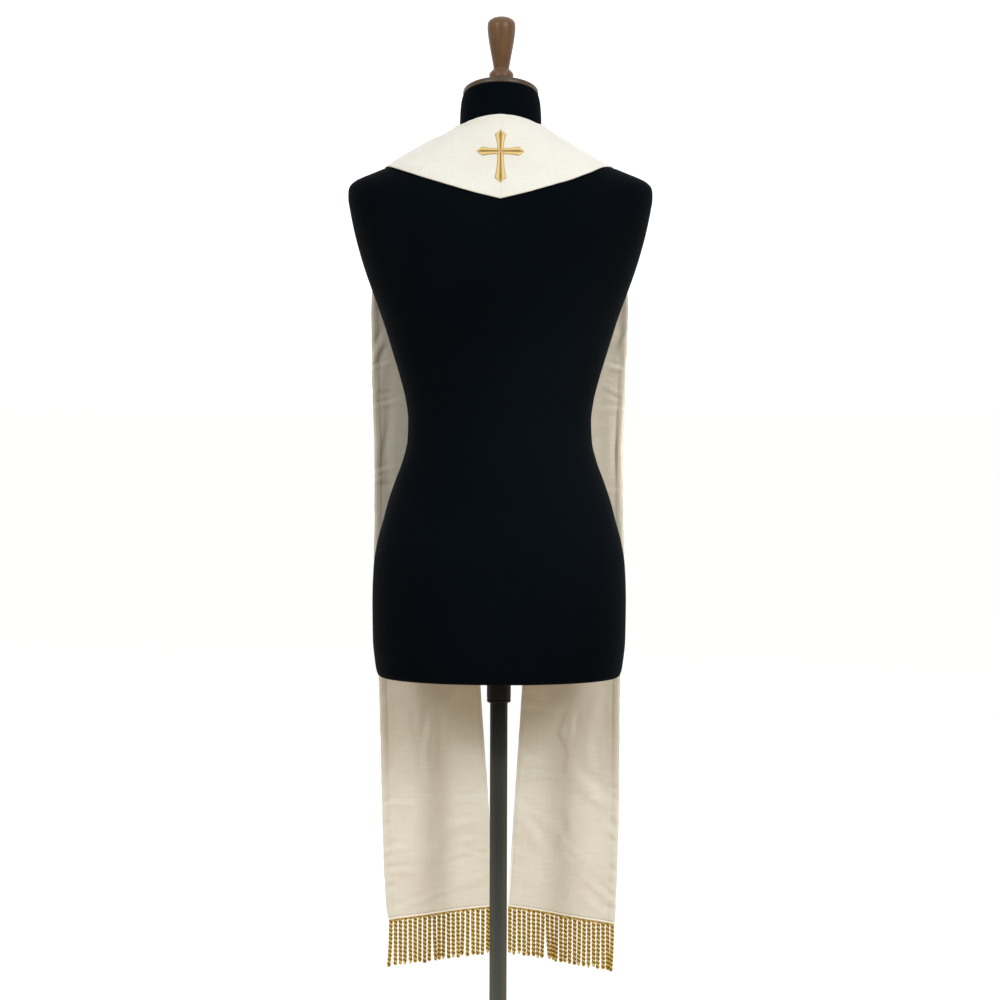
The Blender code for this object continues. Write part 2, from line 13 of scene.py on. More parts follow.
import bmesh
import bpy
import numpy as np
from mathutils import Matrix, Vector
from mathutils.bvhtree import BVHTree


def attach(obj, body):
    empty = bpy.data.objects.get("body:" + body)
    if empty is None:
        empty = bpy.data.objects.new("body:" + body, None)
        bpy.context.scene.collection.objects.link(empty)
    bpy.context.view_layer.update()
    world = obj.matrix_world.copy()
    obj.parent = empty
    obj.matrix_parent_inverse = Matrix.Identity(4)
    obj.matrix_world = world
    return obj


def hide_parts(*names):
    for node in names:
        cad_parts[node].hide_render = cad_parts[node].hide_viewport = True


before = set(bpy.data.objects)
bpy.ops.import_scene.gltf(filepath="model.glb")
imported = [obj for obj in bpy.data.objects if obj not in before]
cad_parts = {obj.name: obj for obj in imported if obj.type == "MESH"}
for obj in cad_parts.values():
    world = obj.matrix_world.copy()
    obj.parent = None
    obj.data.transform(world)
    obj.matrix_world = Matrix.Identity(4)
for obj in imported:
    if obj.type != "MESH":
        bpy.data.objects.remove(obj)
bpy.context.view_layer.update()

MM = 0.001
SIDES = ("left", "right")

# Walls of the cloth, and how far its inner face is kept from the form
FACE_WALL = 1.6 * MM
LINING_WALL = 0.7 * MM
YOKE_CLEARANCE = 1.2 * MM
BAND_CLEARANCE = 2.6 * MM
LINING_GAP = 0.25 * MM

# Grid of the cloth, in millimetres: rows along it, and columns from each edge inwards
ROW_STEP = 3.0
INNER_COLUMNS = (0.0, 0.4, 1.0, 1.9, 4.5, 7.6, 8.6, 9.3, 10.2, 13.0)
OUTER_COLUMNS = (0.0, 0.3, 0.6, 1.4, 4.0, 7.0, 8.2, 9.0, 10.0, 13.0)
MIDDLE_COLUMNS = 34
TURNED_EDGE = {"inner": 1.9, "outer": 0.6, "hem": 2.2}
SEAM_ALLOWANCE = 8.9

# The least gap kept between the cloth and the form, plain and lined, and from how near the form
# it is kept
LEAST_GAP = 0.7
LINED_GAP = 1.5
NEAR_FORM = 0.02
SEAM_HALF_GAP = 0.06 * MM

# The face cloth, in millimetres: how far the step of its turned edge takes, how thick that edge
# and the plain cloth are inwards, how far from its rim it thins, and where the painted highlight
# on the turned edge ends above the hem
TURN_STEP = 0.5
TURN_THICKNESS = 0.80
PLAIN_THICKNESS = 0.15
RIM_REACH = 1.2
RIM_SHARE = 0.45
HIGHLIGHT_HEIGHT = 20
HIGHLIGHT_FADE = 90

# The lining over the seam allowance, in millimetres: how far the allowance raises it, how far it
# sinks beside the outer one, and where along the half it sinks deeper, how far and by what share
ALLOWANCE_RISE = 0.42
INNER_ALLOWANCE_SHARE = 0.6
SINK_DEPTH = 0.55
SINK_FROM_ALLOWANCE = 0.6
SINK_WIDTH = 0.9
SINK_SHARE = 0.35
Sink = namedtuple("Sink", "share along reach")
SINKS = [
    Sink(0.65, 960, 75),
    Sink(0.5, 610, 80),
]
LINING_RIM = 0.8
THINNEST_LINING = 0.12 * MM

# Camera: where it stands, its lens, and how far it dips and rolls, in degrees
CAMERA_PLACE = (-0.0007, 4.0, 1.211)
CAMERA_LENS = 110.77
CAMERA_SENSOR = 36.0
CAMERA_DIP = 3.72
CAMERA_ROLL = 0.18

# Light. The surround is named by the side of the object that it lies on, +X being left, and
# changes from one colour to the next between two parts of the direction.
COOL = (0.86, 0.95, 1.05)
WARM = (1.0, 0.95, 0.84)
Softbox = namedtuple("Softbox", "name place aim size spread power colour")
SOFTBOXES = [
    Softbox("softbox_right", (-2.35, 3.2, 2.85), (0.0, 0.0, 0.85), (1.15, 1.3), 62, 13.8, COOL),
    Softbox("softbox_left", (2.35, 3.2, 2.85), (0.0, 0.0, 0.62), (1.15, 1.3), 62, 10.7, COOL),
    Softbox("spot_on_waist", (-2.60, 3.1, 1.70), (-0.17, 0.0, 1.05), (0.25, 0.25), 8, 0.30, WARM),
]
SURROUND_BACK = (1.25, 1.25, 1.25)
SURROUND_TOP = (1.27, 1.27, 1.27)
SURROUND_TOP_LEFT = (0.74, 0.73, 0.72)
SURROUND_RIGHT = (0.66, 0.60, 0.52)
SURROUND_LEFT = (0.58, 0.54, 0.46)
SURROUND_ACROSS = (-0.6, 0.6)
SURROUND_TOP_ACROSS = (-0.05, 0.7)
SURROUND_AHEAD = (-0.35, 0.10)
SURROUND_UP = (0.40, 0.95)
FLOOR_BACK = (0.98, 0.98, 0.98)
FLOOR_PAINTED_SHADE = (0.70, 0.58, 0.44)
FLOOR_CHANGE = (-1.15, -0.2)
FLOOR_SIZE = 60.0

# Fringe: its strands, how unevenly they are cut, hang and turn, and the heading above them
STRANDS = {"left": 22, "right": 23}
FRINGE_SEEDS = {"left": 5, "right": 9}
STRAND_PLY = 1.50 * MM
STRAND_TWIST = 1.42 * MM
STRAND_PITCH = 11.4 * MM
STRAND_STEPS = 18
STRAND_LENGTH = 60.5
STRAND_UNEVEN = 1.3
STRAND_STRAY = (0.7, 0.9)
STRAND_PHASE = 0.9
PHASE_STEP = 0.35
END_STEPS = 8
END_DROP = 1.5
PLY_SIDES = 8
HEADING_DROP = 0.3 * MM
HEADING_HEIGHT = 2.2 * MM
HEADING_STEPS = 120
HEADING_INSET = 0.006

# Strands that hang out of line: which one from the inner edge, and how far its end leans
# outwards and forwards, in millimetres
Lean = namedtuple("Lean", "side strand outwards forwards")
LEANS = [
    Lean("left", 21, 3.3, 0.6),
    Lean("left", 12, -1.2, -0.8),
    Lean("left", 6, 1.0, 0.6),
    Lean("right", 8, 3.2, -2.6),
    Lean("right", 9, 0.8, 1.2),
    Lean("right", 7, -1.0, 0.8),
    Lean("right", 15, -1.0, 0.5),
    Lean("right", 22, -2.0, 0.9),
]

# Cross, about its crossing
CROSS_HEIGHT_ON_BACK = 1399.8 * MM
ARM_ROOT = 3.9
YOKE_SLOPE = math.radians(18)
STITCH = 0.52

# Stand and neck
POLE_RADIUS = 11.5
COLLAR_RADIUS = 15.7
COLLAR_BOTTOM = 686.0
NECK_TILT = math.radians(19.5)
NECK_TILT_START = 1440
NECK_TOP = 1473.2
FINIAL_SHIFT = -0.7 * MM

# Sections of the form, bottom to top, in millimetres
FormRow = namedtuple("FormRow", "z half_width front back squareness")
FORM = [
    FormRow(721.5, 155.5, 102.0, 108.0, 2.15),
    FormRow(723.4, 158.0, 105.0, 112.0, 2.15),
    FormRow(728.0, 159.8, 107.0, 114.5, 2.15),
    FormRow(743.0, 162.2, 109.5, 117.0, 2.15),
    FormRow(768.0, 164.6, 111.5, 119.5, 2.15),
    FormRow(820.0, 165.3, 113.0, 121.0, 2.15),
    FormRow(866.0, 163.6, 110.5, 119.0, 2.15),
    FormRow(898.0, 158.5, 106.0, 114.0, 2.15),
    FormRow(924.0, 151.5, 101.0, 107.0, 2.12),
    FormRow(950.0, 144.6, 95.5, 99.5, 2.10),
    FormRow(977.0, 135.4, 90.5, 92.0, 2.10),
    FormRow(1003.0, 125.8, 86.0, 87.0, 2.10),
    FormRow(1029.0, 120.0, 83.5, 84.0, 2.10),
    FormRow(1055.0, 119.0, 83.0, 82.0, 2.10),
    FormRow(1081.0, 122.2, 85.0, 83.5, 2.10),
    FormRow(1107.0, 128.6, 89.0, 86.5, 2.10),
    FormRow(1146.0, 140.3, 97.5, 91.5, 2.12),
    FormRow(1185.0, 152.6, 109.0, 96.0, 2.15),
    FormRow(1223.0, 166.4, 118.0, 99.0, 2.18),
    FormRow(1249.0, 175.6, 119.0, 100.0, 2.20),
    FormRow(1275.0, 183.3, 114.5, 99.5, 2.25),
    FormRow(1301.0, 189.8, 106.0, 97.0, 2.30),
    FormRow(1327.0, 194.8, 95.5, 91.5, 2.35),
    FormRow(1341.0, 196.9, 88.5, 86.8, 2.35),
    FormRow(1351.0, 196.7, 82.5, 83.0, 2.30),
    FormRow(1358.0, 194.2, 77.5, 79.5, 2.20),
    FormRow(1365.2, 185.6, 73.0, 76.0, 2.12),
    FormRow(1373.0, 167.3, 68.7, 72.8, 2.06),
    FormRow(1377.2, 157.0, 67.0, 71.3, 2.05),
    FormRow(1380.2, 149.5, 66.0, 70.6, 2.04),
    FormRow(1381.8, 139.5, 65.4, 70.0, 2.03),
    FormRow(1386.0, 132.0, 64.0, 68.9, 2.02),
    FormRow(1392.2, 121.0, 62.0, 67.3, 2.00),
    FormRow(1403.4, 102.0, 58.0, 63.0, 2.00),
    FormRow(1415.2, 82.0, 54.5, 59.0, 2.00),
    FormRow(1427.2, 63.0, 52.0, 54.5, 2.00),
    FormRow(1436.0, 52.8, 51.5, 51.5, 2.00),
    FormRow(1447.0, 52.5, 52.0, 49.5, 2.00),
    FormRow(1462.0, 51.4, 52.5, 45.5, 2.00),
    FormRow(1469.0, 50.2, 51.5, 43.0, 2.00),
    FormRow(NECK_TOP, 48.9, 50.5, 41.5, 2.00),
]
FORM_SECTORS = 144
FORM_STEP = 6

# Edges of one half of the stole from the centre back over the shoulder to the hem, in
# millimetres. The inner edge runs round the neck, the outer edge starts at the point of the V.
# cling is how closely the cloth follows the form, bow how far its middle stands out.
Station = namedtuple("Station", "along inner_x inner_y inner_z outer_x outer_y outer_z cling bow")
STATIONS = [
    Station(0, 0.0, 53.0, 1448.0, 0.0, 90.0, 1339.7, 1.0, 0.0),
    Station(40, 22.0, 49.0, 1445.5, 38.0, 87.0, 1349.7, 1.0, 0.0),
    Station(75, 39.5, 37.0, 1440.5, 76.0, 79.0, 1362.0, 1.0, 0.0),
    Station(105, 49.5, 19.0, 1435.0, 113.0, 57.0, 1371.5, 1.0, 0.0),
    Station(119, 51.8, 9.0, 1433.3, 132.5, 37.0, 1378.6, 1.0, 0.0),
    Station(131, 53.0, 0.0, 1432.0, 144.8, 12.0, 1382.0, 1.0, 0.0),
    Station(160, 55.5, -21.0, 1425.0, 149.5, -30.0, 1366.0, 1.0, 0.0),
    Station(195, 57.0, -43.0, 1408.0, 157.0, -53.0, 1336.0, 0.9, 0.0),
    Station(235, 57.0, -68.0, 1377.0, 164.5, -67.0, 1304.0, 0.7, 1.0),
    Station(280, 55.6, -94.0, 1335.0, 169.8, -76.0, 1268.0, 0.4, 3.0),
    Station(330, 53.6, -114.0, 1288.0, 170.8, -83.0, 1232.0, 0.15, 5.0),
    Station(385, 51.8, -124.0, 1234.0, 170.1, -87.0, 1190.0, 0.0, 6.0),
    Station(430, 50.5, -126.5, 1190.0, 169.2, -89.0, 1155.0, 0.0, 6.0),
    Station(505, 48.6, -128.0, 1115.0, 168.1, -90.0, 1096.0, 0.0, 5.0),
    Station(606, 45.4, -129.0, 1014.0, 165.2, -91.0, 1008.0, 0.0, 4.5),
    Station(702, 41.2, -129.5, 918.0, 165.4, -92.0, 918.0, 0.0, 4.0),
    Station(744, 39.0, -130.0, 876.0, 166.6, -92.0, 876.0, 0.0, 4.0),
    Station(930, 28.1, -130.0, 690.0, 160.6, -93.0, 690.0, 0.0, 3.5),
    Station(1079, 18.2, -130.5, 541.0, 158.5, -94.0, 541.0, 0.0, 3.0),
    Station(1208, 9.5, -131.0, 411.0, 153.9, -95.0, 400.0, 0.0, 2.0),
    Station(1229, 8.0, -131.0, 390.0, 151.9, -95.0, 377.9, 0.0, 2.0),
]
LENGTH = STATIONS[-1].along
STRAIGHT_AT = 190
STRAIGHT_REACH = 90
LINED_FROM = 200
LINING_FROM = 208
LINING_EASE = 50
LINING_INSET = 2.2
FOLDING_FROM = 235
FOLDING_REACH = 200

# How each half lies over its shoulder: how high it rolls up from the form, in millimetres, and
# the share of its width that it gives up there
Shoulder = namedtuple("Shoulder", "rise narrowing")
SHOULDERS = {"left": Shoulder(3.8, -0.02), "right": Shoulder(0.0, 0.03)}
SHOULDER_AT = 128
ROLL_REACH = 85
ROLL_FULL_FROM = 0.53
ROLL_FULL_TO = 0.875
CORNER_REACH = 40

# Sway of both bands towards -X at each height: at their inner and their outer edges, in
# millimetres
SwayRow = namedtuple("SwayRow", "z inner outer")
SWAY = [
    SwayRow(378, 4.4, 4.6),
    SwayRow(402, 4.4, 3.4),
    SwayRow(541, 3.9, 2.6),
    SwayRow(690, 3.2, 0.9),
    SwayRow(900, 0.8, -0.6),
    SwayRow(1050, -0.8, -1.3),
    SwayRow(1200, -0.4, -0.4),
    SwayRow(1380, 0.0, 0.0),
]
HEM_DROP = {"left": 0.0, "right": 4.9}
HEM_DROP_FROM = 980

# Soft folds down the bands: place across the band from 0, the inner edge, to 1, the outer,
# half their width in the same measure, how far they stand out, and the heights where they
# begin to fade, in millimetres
Fold = namedtuple("Fold", "side place spread depth top bottom")
FOLDS = [
    Fold("left", 0.31, 0.17, 4.6, 1130, 380),
    Fold("left", 0.66, 0.14, -3.4, 980, 470),
    Fold("left", 0.90, 0.08, 1.2, 900, 420),
    Fold("right", 0.27, 0.16, 3.4, 1130, 360),
    Fold("right", 0.61, 0.14, -2.8, 1040, 430),
    Fold("right", 0.88, 0.08, 1.0, 760, 400),
]
FOLD_FADE = 110

# Creases, each a soft trough or ridge: where its middle lies along the half and across it, half
# its length and half its width, and how far it stands out, in millimetres, and its turn from
# straight down the cloth, in degrees
Crease = namedtuple("Crease", "side along place length width depth turn")
CREASES = [
    Crease("left", 20, 0.30, 26, 9, 0.4, 70),
    Crease("left", 58, 0.20, 34, 8, -0.5, 14),
    Crease("left", 96, 0.30, 34, 11, 0.9, 16),
    Crease("left", 92, 0.62, 26, 9, -0.5, 24),
    Crease("left", 128, 0.70, 30, 8, 0.6, 8),
    Crease("left", 150, 0.30, 40, 10, -0.6, 12),
    Crease("left", 205, 0.55, 55, 11, 1.0, -10),
    Crease("left", 250, 0.25, 60, 12, -0.9, 8),
    Crease("left", 300, 0.72, 80, 13, 1.3, 6),
    Crease("left", 355, 0.40, 70, 12, -1.2, -8),
    Crease("left", 425, 0.93, 12, 5, 1.4, 30),
    Crease("left", 441, 0.92, 10, 5, -1.1, 24),
    Crease("left", 468, 0.90, 18, 5, 0.8, 12),
    Crease("left", 470, 0.18, 80, 9, -1.0, -4),
    Crease("left", 560, 0.84, 70, 8, 1.2, 3),
    Crease("left", 640, 0.86, 60, 7, 1.1, -6),
    Crease("left", 690, 0.55, 110, 12, -1.4, 4),
    Crease("left", 760, 0.25, 90, 10, 1.2, -5),
    Crease("left", 850, 0.70, 90, 10, 1.3, 3),
    Crease("left", 935, 0.96, 9, 3, 0.8, 42),
    Crease("left", 945, 0.93, 10, 3, -0.7, 46),
    Crease("left", 1152, 0.16, 20, 2.6, 1.1, 112),
    Crease("left", 1158, 0.15, 20, 3.0, -0.8, 112),
    Crease("left", 1085, 0.86, 6, 2.2, -0.6, 92),
    Crease("left", 1088, 0.22, 15, 2.0, -0.6, 84),
    Crease("left", 1212, 0.55, 14, 8, 1.0, 60),
    Crease("right", 24, 0.26, 26, 9, -0.3, -66),
    Crease("right", 62, 0.30, 32, 9, 0.4, -18),
    Crease("right", 100, 0.55, 36, 10, -0.5, -22),
    Crease("right", 140, 0.40, 34, 9, 0.6, -10),
    Crease("right", 190, 0.65, 55, 10, -0.9, 9),
    Crease("right", 240, 0.30, 60, 12, 1.0, -7),
    Crease("right", 310, 0.60, 80, 13, -1.3, -5),
    Crease("right", 360, 0.28, 70, 12, 1.2, 9),
    Crease("right", 424, 0.90, 16, 4, 1.5, -40),
    Crease("right", 436, 0.86, 14, 5, -1.4, -44),
    Crease("right", 463, 0.95, 9, 4, 1.3, -20),
    Crease("right", 478, 0.90, 12, 4, -0.9, -50),
    Crease("right", 500, 0.42, 90, 12, 1.2, -4),
    Crease("right", 580, 0.84, 90, 8, -1.0, 2),
    Crease("right", 660, 0.30, 100, 11, 1.3, -3),
    Crease("right", 740, 0.58, 110, 12, -1.3, 4),
    Crease("right", 850, 0.40, 80, 11, 1.2, -5),
    Crease("right", 955, 0.74, 40, 8, -1.2, -12),
    Crease("right", 1052, 0.26, 34, 2.2, -0.7, 99),
    Crease("right", 1057, 0.26, 34, 2.6, 0.5, 99),
    Crease("right", 1062, 0.79, 27, 2.4, -0.9, 118),
    Crease("right", 1068, 0.79, 27, 2.8, 0.7, 118),
    Crease("right", 1100, 0.46, 60, 9, 0.7, -2),
    Crease("right", 1130, 0.24, 20, 5, -1.2, -24),
    Crease("right", 1132, 0.16, 20, 5, 0.9, -22),
    Crease("right", 1110, 0.94, 8, 3, 0.9, 70),
    Crease("right", 1118, 0.93, 8, 3, -0.8, 66),
    Crease("right", 1186, 0.90, 10, 3, 1.0, 60),
    Crease("right", 1195, 0.92, 10, 3, -0.8, 56),
    Crease("right", 1175, 0.44, 50, 9, 0.7, 2),
    Crease("right", 1118, 0.045, 8, 2.6, 0.8, 70),
    Crease("right", 1130, 0.05, 8, 2.6, -0.7, 74),
    Crease("right", 1143, 0.04, 8, 2.8, 0.7, 66),
    Crease("right", 1157, 0.05, 9, 2.8, -0.7, 72),
    Crease("right", 1172, 0.045, 8, 2.6, 0.7, 64),
    Crease("right", 1188, 0.05, 9, 2.8, -0.6, 70),
]

# Places where the cloth turns from one slope to another, laid out as the creases are
SLANTS = [
    Crease("left", 992, 0.560, 30, 6.0, 1.2, 12),
    Crease("left", 1036, 0.592, 24, 6.0, 0.9, -8),
    Crease("left", 975, 0.700, 18, 4.0, -0.6, 3),
    Crease("left", 1000, 0.440, 34, 5.0, -0.7, 4),
    Crease("left", 1082, 0.800, 26, 4.5, 1.2, 92),
    Crease("left", 1080, 0.210, 20, 4.5, 1.1, 84),
    Crease("left", 1050, 0.100, 30, 12.0, 0.9, 40),
    Crease("left", 1167, 0.820, 17, 4.5, 1.1, 90),
    Crease("left", 1138, 0.870, 12, 4.5, 1.0, 90),
    Crease("left", 1158, 0.290, 34, 4.5, -0.9, 79),
    Crease("left", 1112, 0.250, 26, 7.0, 0.9, 76),
    Crease("left", 1135, 0.230, 18, 5.0, 0.7, 84),
    Crease("left", 1100, 0.720, 34, 9.0, 0.9, 8),
    Crease("left", 1205, 0.640, 34, 5.0, 0.60, 76),
    Crease("left", 1200, 0.300, 40, 7.0, -0.50, 84),
    Crease("left", 1040, 0.880, 26, 6.0, 0.5, 30),
    Crease("left", 1182, 0.080, 12, 5.0, 0.5, 70),
    Crease("left", 455, 0.930, 16, 5.5, -0.7, 30),
    Crease("left", 471, 0.900, 16, 4.5, 1.1, 88),
    Crease("left", 516, 0.880, 18, 5.0, -1.0, 92),
    Crease("left", 534, 0.870, 20, 4.5, 1.3, 86),
    Crease("left", 590, 0.900, 30, 6.5, -0.7, 10),
    Crease("left", 630, 0.900, 16, 4.5, 1.1, 80),
    Crease("left", 650, 0.920, 16, 5.0, -1.1, 94),
    Crease("right", 430, 0.930, 20, 5.0, -1.3, -20),
    Crease("right", 475, 0.880, 18, 5.0, 1.3, 84),
    Crease("right", 519, 0.880, 16, 5.0, -1.0, 70),
    Crease("right", 540, 0.900, 16, 5.0, 1.1, 96),
    Crease("right", 605, 0.930, 30, 5.0, -0.8, -2),
    Crease("right", 660, 0.920, 16, 5.0, 1.1, 80),
    Crease("right", 977, 0.424, 19, 6.0, -0.65, -18),
    Crease("right", 1004, 0.436, 19, 5.6, -0.80, 24),
    Crease("right", 1031, 0.474, 19, 6.0, -0.65, -7),
    Crease("right", 981, 0.545, 20, 4.8, 1.0, -4),
    Crease("right", 1111, 0.510, 17, 8.0, -0.9, 15),
    Crease("right", 1138, 0.426, 19, 8.0, -0.9, -20),
    Crease("right", 1056, 0.710, 24, 11.0, 1.8, 50),
    Crease("right", 1082, 0.760, 22, 6.0, -0.7, 62),
    Crease("right", 1047, 0.240, 34, 4.5, 1.2, 88),
    Crease("right", 1022, 0.060, 18, 8.0, 1.2, 60),
    Crease("right", 1122, 0.190, 30, 10.0, 1.5, 40),
    Crease("right", 1095, 0.130, 26, 7.0, 0.7, 60),
    Crease("right", 1170, 0.700, 32, 6.0, 0.6, -30),
    Crease("right", 1150, 0.600, 24, 5.0, -0.5, 55),
    Crease("right", 1020, 0.740, 30, 8.0, 0.7, 6),
    Crease("right", 1192, 0.800, 24, 4.0, -0.7, 55),
    Crease("right", 1205, 0.780, 22, 4.0, 0.5, 60),
    Crease("right", 958, 0.160, 26, 6.0, -0.6, 84),
]
SLANT_SLOPE = 2.3

CREASE_REACH = 2.6
CREASE_START = 22
CREASE_END = 12
CREASE_END_SHARE = 0.4

# Ticks across the outer seams: where along the half each lies, how far they stand out, half
# their size along and across, how far in from the edge they lie and reach, in millimetres
EDGE_TICKS = {
    "left": (1081, 1110, 1137, 1150, 1163, 1175, 1187),
    "right": (1062, 1074, 1091, 1106, 1127, 1146, 1161, 1178, 1193, 1208),
}
TICK_DEPTH = 2.3
TICK_HALF_LENGTH = 3.2
TICK_HALF_WIDTH = 6.0
TICK_INSET = 6.0
TICK_REACH = 18

# Puckers of the sewn edges: how far in they reach, how far they stand out and the lengths of
# their waves, and how far the edges wander, from how far in, and from how far along the half
PUCKER_REACH = 16.0
PUCKER_DEPTH = 0.42
PUCKER_WAVES = (23.0, 37.0, 61.0)
PUCKER_SWELL = 173
EDGE_WANDER = 0.35
WANDER_REACH = 12
WANDER_START = 40

# Arms of the cross: length to the tip, where the shoulders are, half width of the shoulders
Arm = namedtuple("Arm", "angle length shoulder half_width")
ARMS = [
    Arm(90, 29.3, 22.4, 7.3),
    Arm(0, 30.7, 23.0, 6.1),
    Arm(270, 42.2, 36.2, 7.2),
    Arm(180, 30.7, 23.0, 6.1),
]
LOBE_COLUMNS = 9
LOBE_RISE = 0.95
LOBE_GROOVE = 0.03
STITCH_RISE = 0.07
STITCH_SLANT = 0.45
STITCHES_UNDER = 0.01
ARM_START = 0.05
ARM_TIP = 0.04
SEAM_KEEP = 1.4 * MM

# Turned pieces, each up its outer side, in millimetres: the finial and the base by their
# height, the neck cap by its height above the neck
TurnedRow = namedtuple("TurnedRow", "radius z")
FINIAL = [
    TurnedRow(10.5, 1468.0),
    TurnedRow(10.5, 1480.0),
    TurnedRow(10.5, 1491.0),
    TurnedRow(10.6, 1492.4),
    TurnedRow(12.2, 1493.2),
    TurnedRow(15.0, 1495.6),
    TurnedRow(15.9, 1499.4),
    TurnedRow(15.7, 1502.7),
    TurnedRow(13.9, 1505.4),
    TurnedRow(11.2, 1507.5),
    TurnedRow(10.1, 1508.8),
    TurnedRow(10.0, 1510.0),
    TurnedRow(10.5, 1512.6),
    TurnedRow(12.0, 1521.0),
    TurnedRow(14.4, 1533.5),
    TurnedRow(16.7, 1546.3),
    TurnedRow(18.1, 1558.0),
    TurnedRow(18.3, 1565.4),
    TurnedRow(17.0, 1569.8),
    TurnedRow(14.4, 1572.4),
    TurnedRow(10.5, 1574.6),
    TurnedRow(6.0, 1576.0),
    TurnedRow(1.5, 1576.3),
]
NECK_CAP = [
    TurnedRow(47.2, 0.3),
    TurnedRow(48.2, 1.0),
    TurnedRow(48.6, 2.2),
    TurnedRow(48.7, 5.4),
    TurnedRow(48.3, 6.9),
    TurnedRow(47.2, 7.7),
    TurnedRow(45.0, 8.0),
    TurnedRow(34.0, 8.3),
    TurnedRow(15.0, 8.7),
    TurnedRow(1.5, 8.7),
]
BASE = [
    TurnedRow(163.4, 0.0),
    TurnedRow(165.0, 1.6),
    TurnedRow(165.0, 4.8),
    TurnedRow(163.6, 7.0),
    TurnedRow(160.0, 8.4),
    TurnedRow(102.0, 11.8),
    TurnedRow(25.0, 14.0),
    TurnedRow(13.0, 14.0),
]
POLE = [
    TurnedRow(POLE_RADIUS, 14.3),
    TurnedRow(POLE_RADIUS, 721.2),
]
COLLAR = [
    TurnedRow(COLLAR_RADIUS - 1.3, COLLAR_BOTTOM),
    TurnedRow(COLLAR_RADIUS, COLLAR_BOTTOM + 1.3),
    TurnedRow(COLLAR_RADIUS, COLLAR_BOTTOM + 4.0),
    TurnedRow(COLLAR_RADIUS - 0.5, COLLAR_BOTTOM + 4.7),
    TurnedRow(COLLAR_RADIUS - 0.5, COLLAR_BOTTOM + 5.3),
    TurnedRow(COLLAR_RADIUS, COLLAR_BOTTOM + 6.0),
    TurnedRow(COLLAR_RADIUS, 718.6),
    TurnedRow(COLLAR_RADIUS - 1.2, 719.9),
    TurnedRow(COLLAR_RADIUS - 1.2, 721.2),
]


# ------------------------------------------------------------------ camera, light and floor

def make_camera():
    data = bpy.data.cameras.new("camera")
    data.lens = CAMERA_LENS
    data.sensor_width = CAMERA_SENSOR
    camera = bpy.data.objects.new("camera", data)
    bpy.context.scene.collection.objects.link(camera)
    turn = Matrix.Rotation(math.pi, 3, "Z")
    nod = Matrix.Rotation(math.radians(90 - CAMERA_DIP), 3, "X")
    roll = Matrix.Rotation(math.radians(CAMERA_ROLL), 3, "Z")
    camera.location = CAMERA_PLACE
    camera.rotation_euler = (turn @ nod @ roll).to_euler()
    bpy.context.scene.camera = camera


def make_softbox(softbox):
    """A softbox whose grid keeps its light within its spread."""
    data = bpy.data.lights.new(softbox.name, "AREA")
    data.shape = "RECTANGLE"
    data.size, data.size_y = softbox.size
    data.energy = softbox.power
    data.color = softbox.colour
    data.spread = math.radians(softbox.spread)
    light = bpy.data.objects.new(softbox.name, data)
    light.location = softbox.place
    toward = Vector(softbox.aim) - Vector(softbox.place)
    light.rotation_euler = toward.to_track_quat("-Z", "Y").to_euler()
    bpy.context.scene.collection.objects.link(light)


def make_surround():
    """A white surround, dimmer and warmer where the yoke faces, and dimmer above on the left."""
    world = bpy.data.worlds.new("studio")
    bpy.context.scene.world = world
    world.use_nodes = True
    tree = world.node_tree
    directions = tree.nodes.new("ShaderNodeTexCoord")
    parts = tree.nodes.new("ShaderNodeSeparateXYZ")
    tree.links.new(directions.outputs["Generated"], parts.inputs[0])

    def toward(axis, change):
        node = tree.nodes.new("ShaderNodeMapRange")
        node.interpolation_type = "SMOOTHSTEP"
        node.inputs["From Min"].default_value = change[0]
        node.inputs["From Max"].default_value = change[1]
        tree.links.new(parts.outputs[axis], node.inputs["Value"])
        return node.outputs["Result"]

    def mixed(factor, first, second):
        node = tree.nodes.new("ShaderNodeMix")
        node.data_type = "RGBA"
        tree.links.new(factor, node.inputs["Factor"])
        for colour, socket in ((first, node.inputs["A"]), (second, node.inputs["B"])):
            if isinstance(colour, tuple):
                socket.default_value = (*colour, 1.0)
            else:
                tree.links.new(colour, socket)
        return node.outputs["Result"]

    facing = mixed(toward("X", SURROUND_ACROSS), SURROUND_RIGHT, SURROUND_LEFT)
    around = mixed(toward("Y", SURROUND_AHEAD), SURROUND_BACK, facing)
    above = mixed(toward("X", SURROUND_TOP_ACROSS), SURROUND_TOP, SURROUND_TOP_LEFT)
    whole = mixed(toward("Z", SURROUND_UP), around, above)
    surround = tree.nodes["Background"]
    tree.links.new(whole, surround.inputs["Color"])


def make_studio():
    """Lights, surround and a floor painted darker and warmer under the object as painted shade,
    near white behind it.
    """
    for softbox in SOFTBOXES:
        make_softbox(softbox)
    bpy.context.scene.view_settings.view_transform = "Standard"
    make_surround()
    bpy.ops.object.select_all(action="DESELECT")
    bpy.ops.mesh.primitive_plane_add(size=FLOOR_SIZE, location=(0.0, 0.0, 0.0))
    floor = bpy.context.object
    floor.name = "studio_floor"
    paint = Finish("floor_paint", FLOOR_BACK, 0.9)
    depth = paint.node("ShaderNodeSeparateXYZ")
    paint.join(paint.places((1.0, 1.0, 1.0), uv=False), depth.inputs[0])
    forward = paint.node("ShaderNodeMapRange")
    paint.join(depth.outputs["Y"], forward.inputs["Value"])
    forward.inputs["From Min"].default_value = FLOOR_CHANGE[0]
    forward.inputs["From Max"].default_value = FLOOR_CHANGE[1]
    # Painted shade: the floor darkens and warms from behind the object to in front of it.
    paint.coloured(paint.colours(forward.outputs["Result"], [
        (0.0, FLOOR_BACK),
        (1.0, FLOOR_PAINTED_SHADE),
    ]))
    floor.data.materials.append(paint.material)


# ------------------------------------------------------------------ finishes

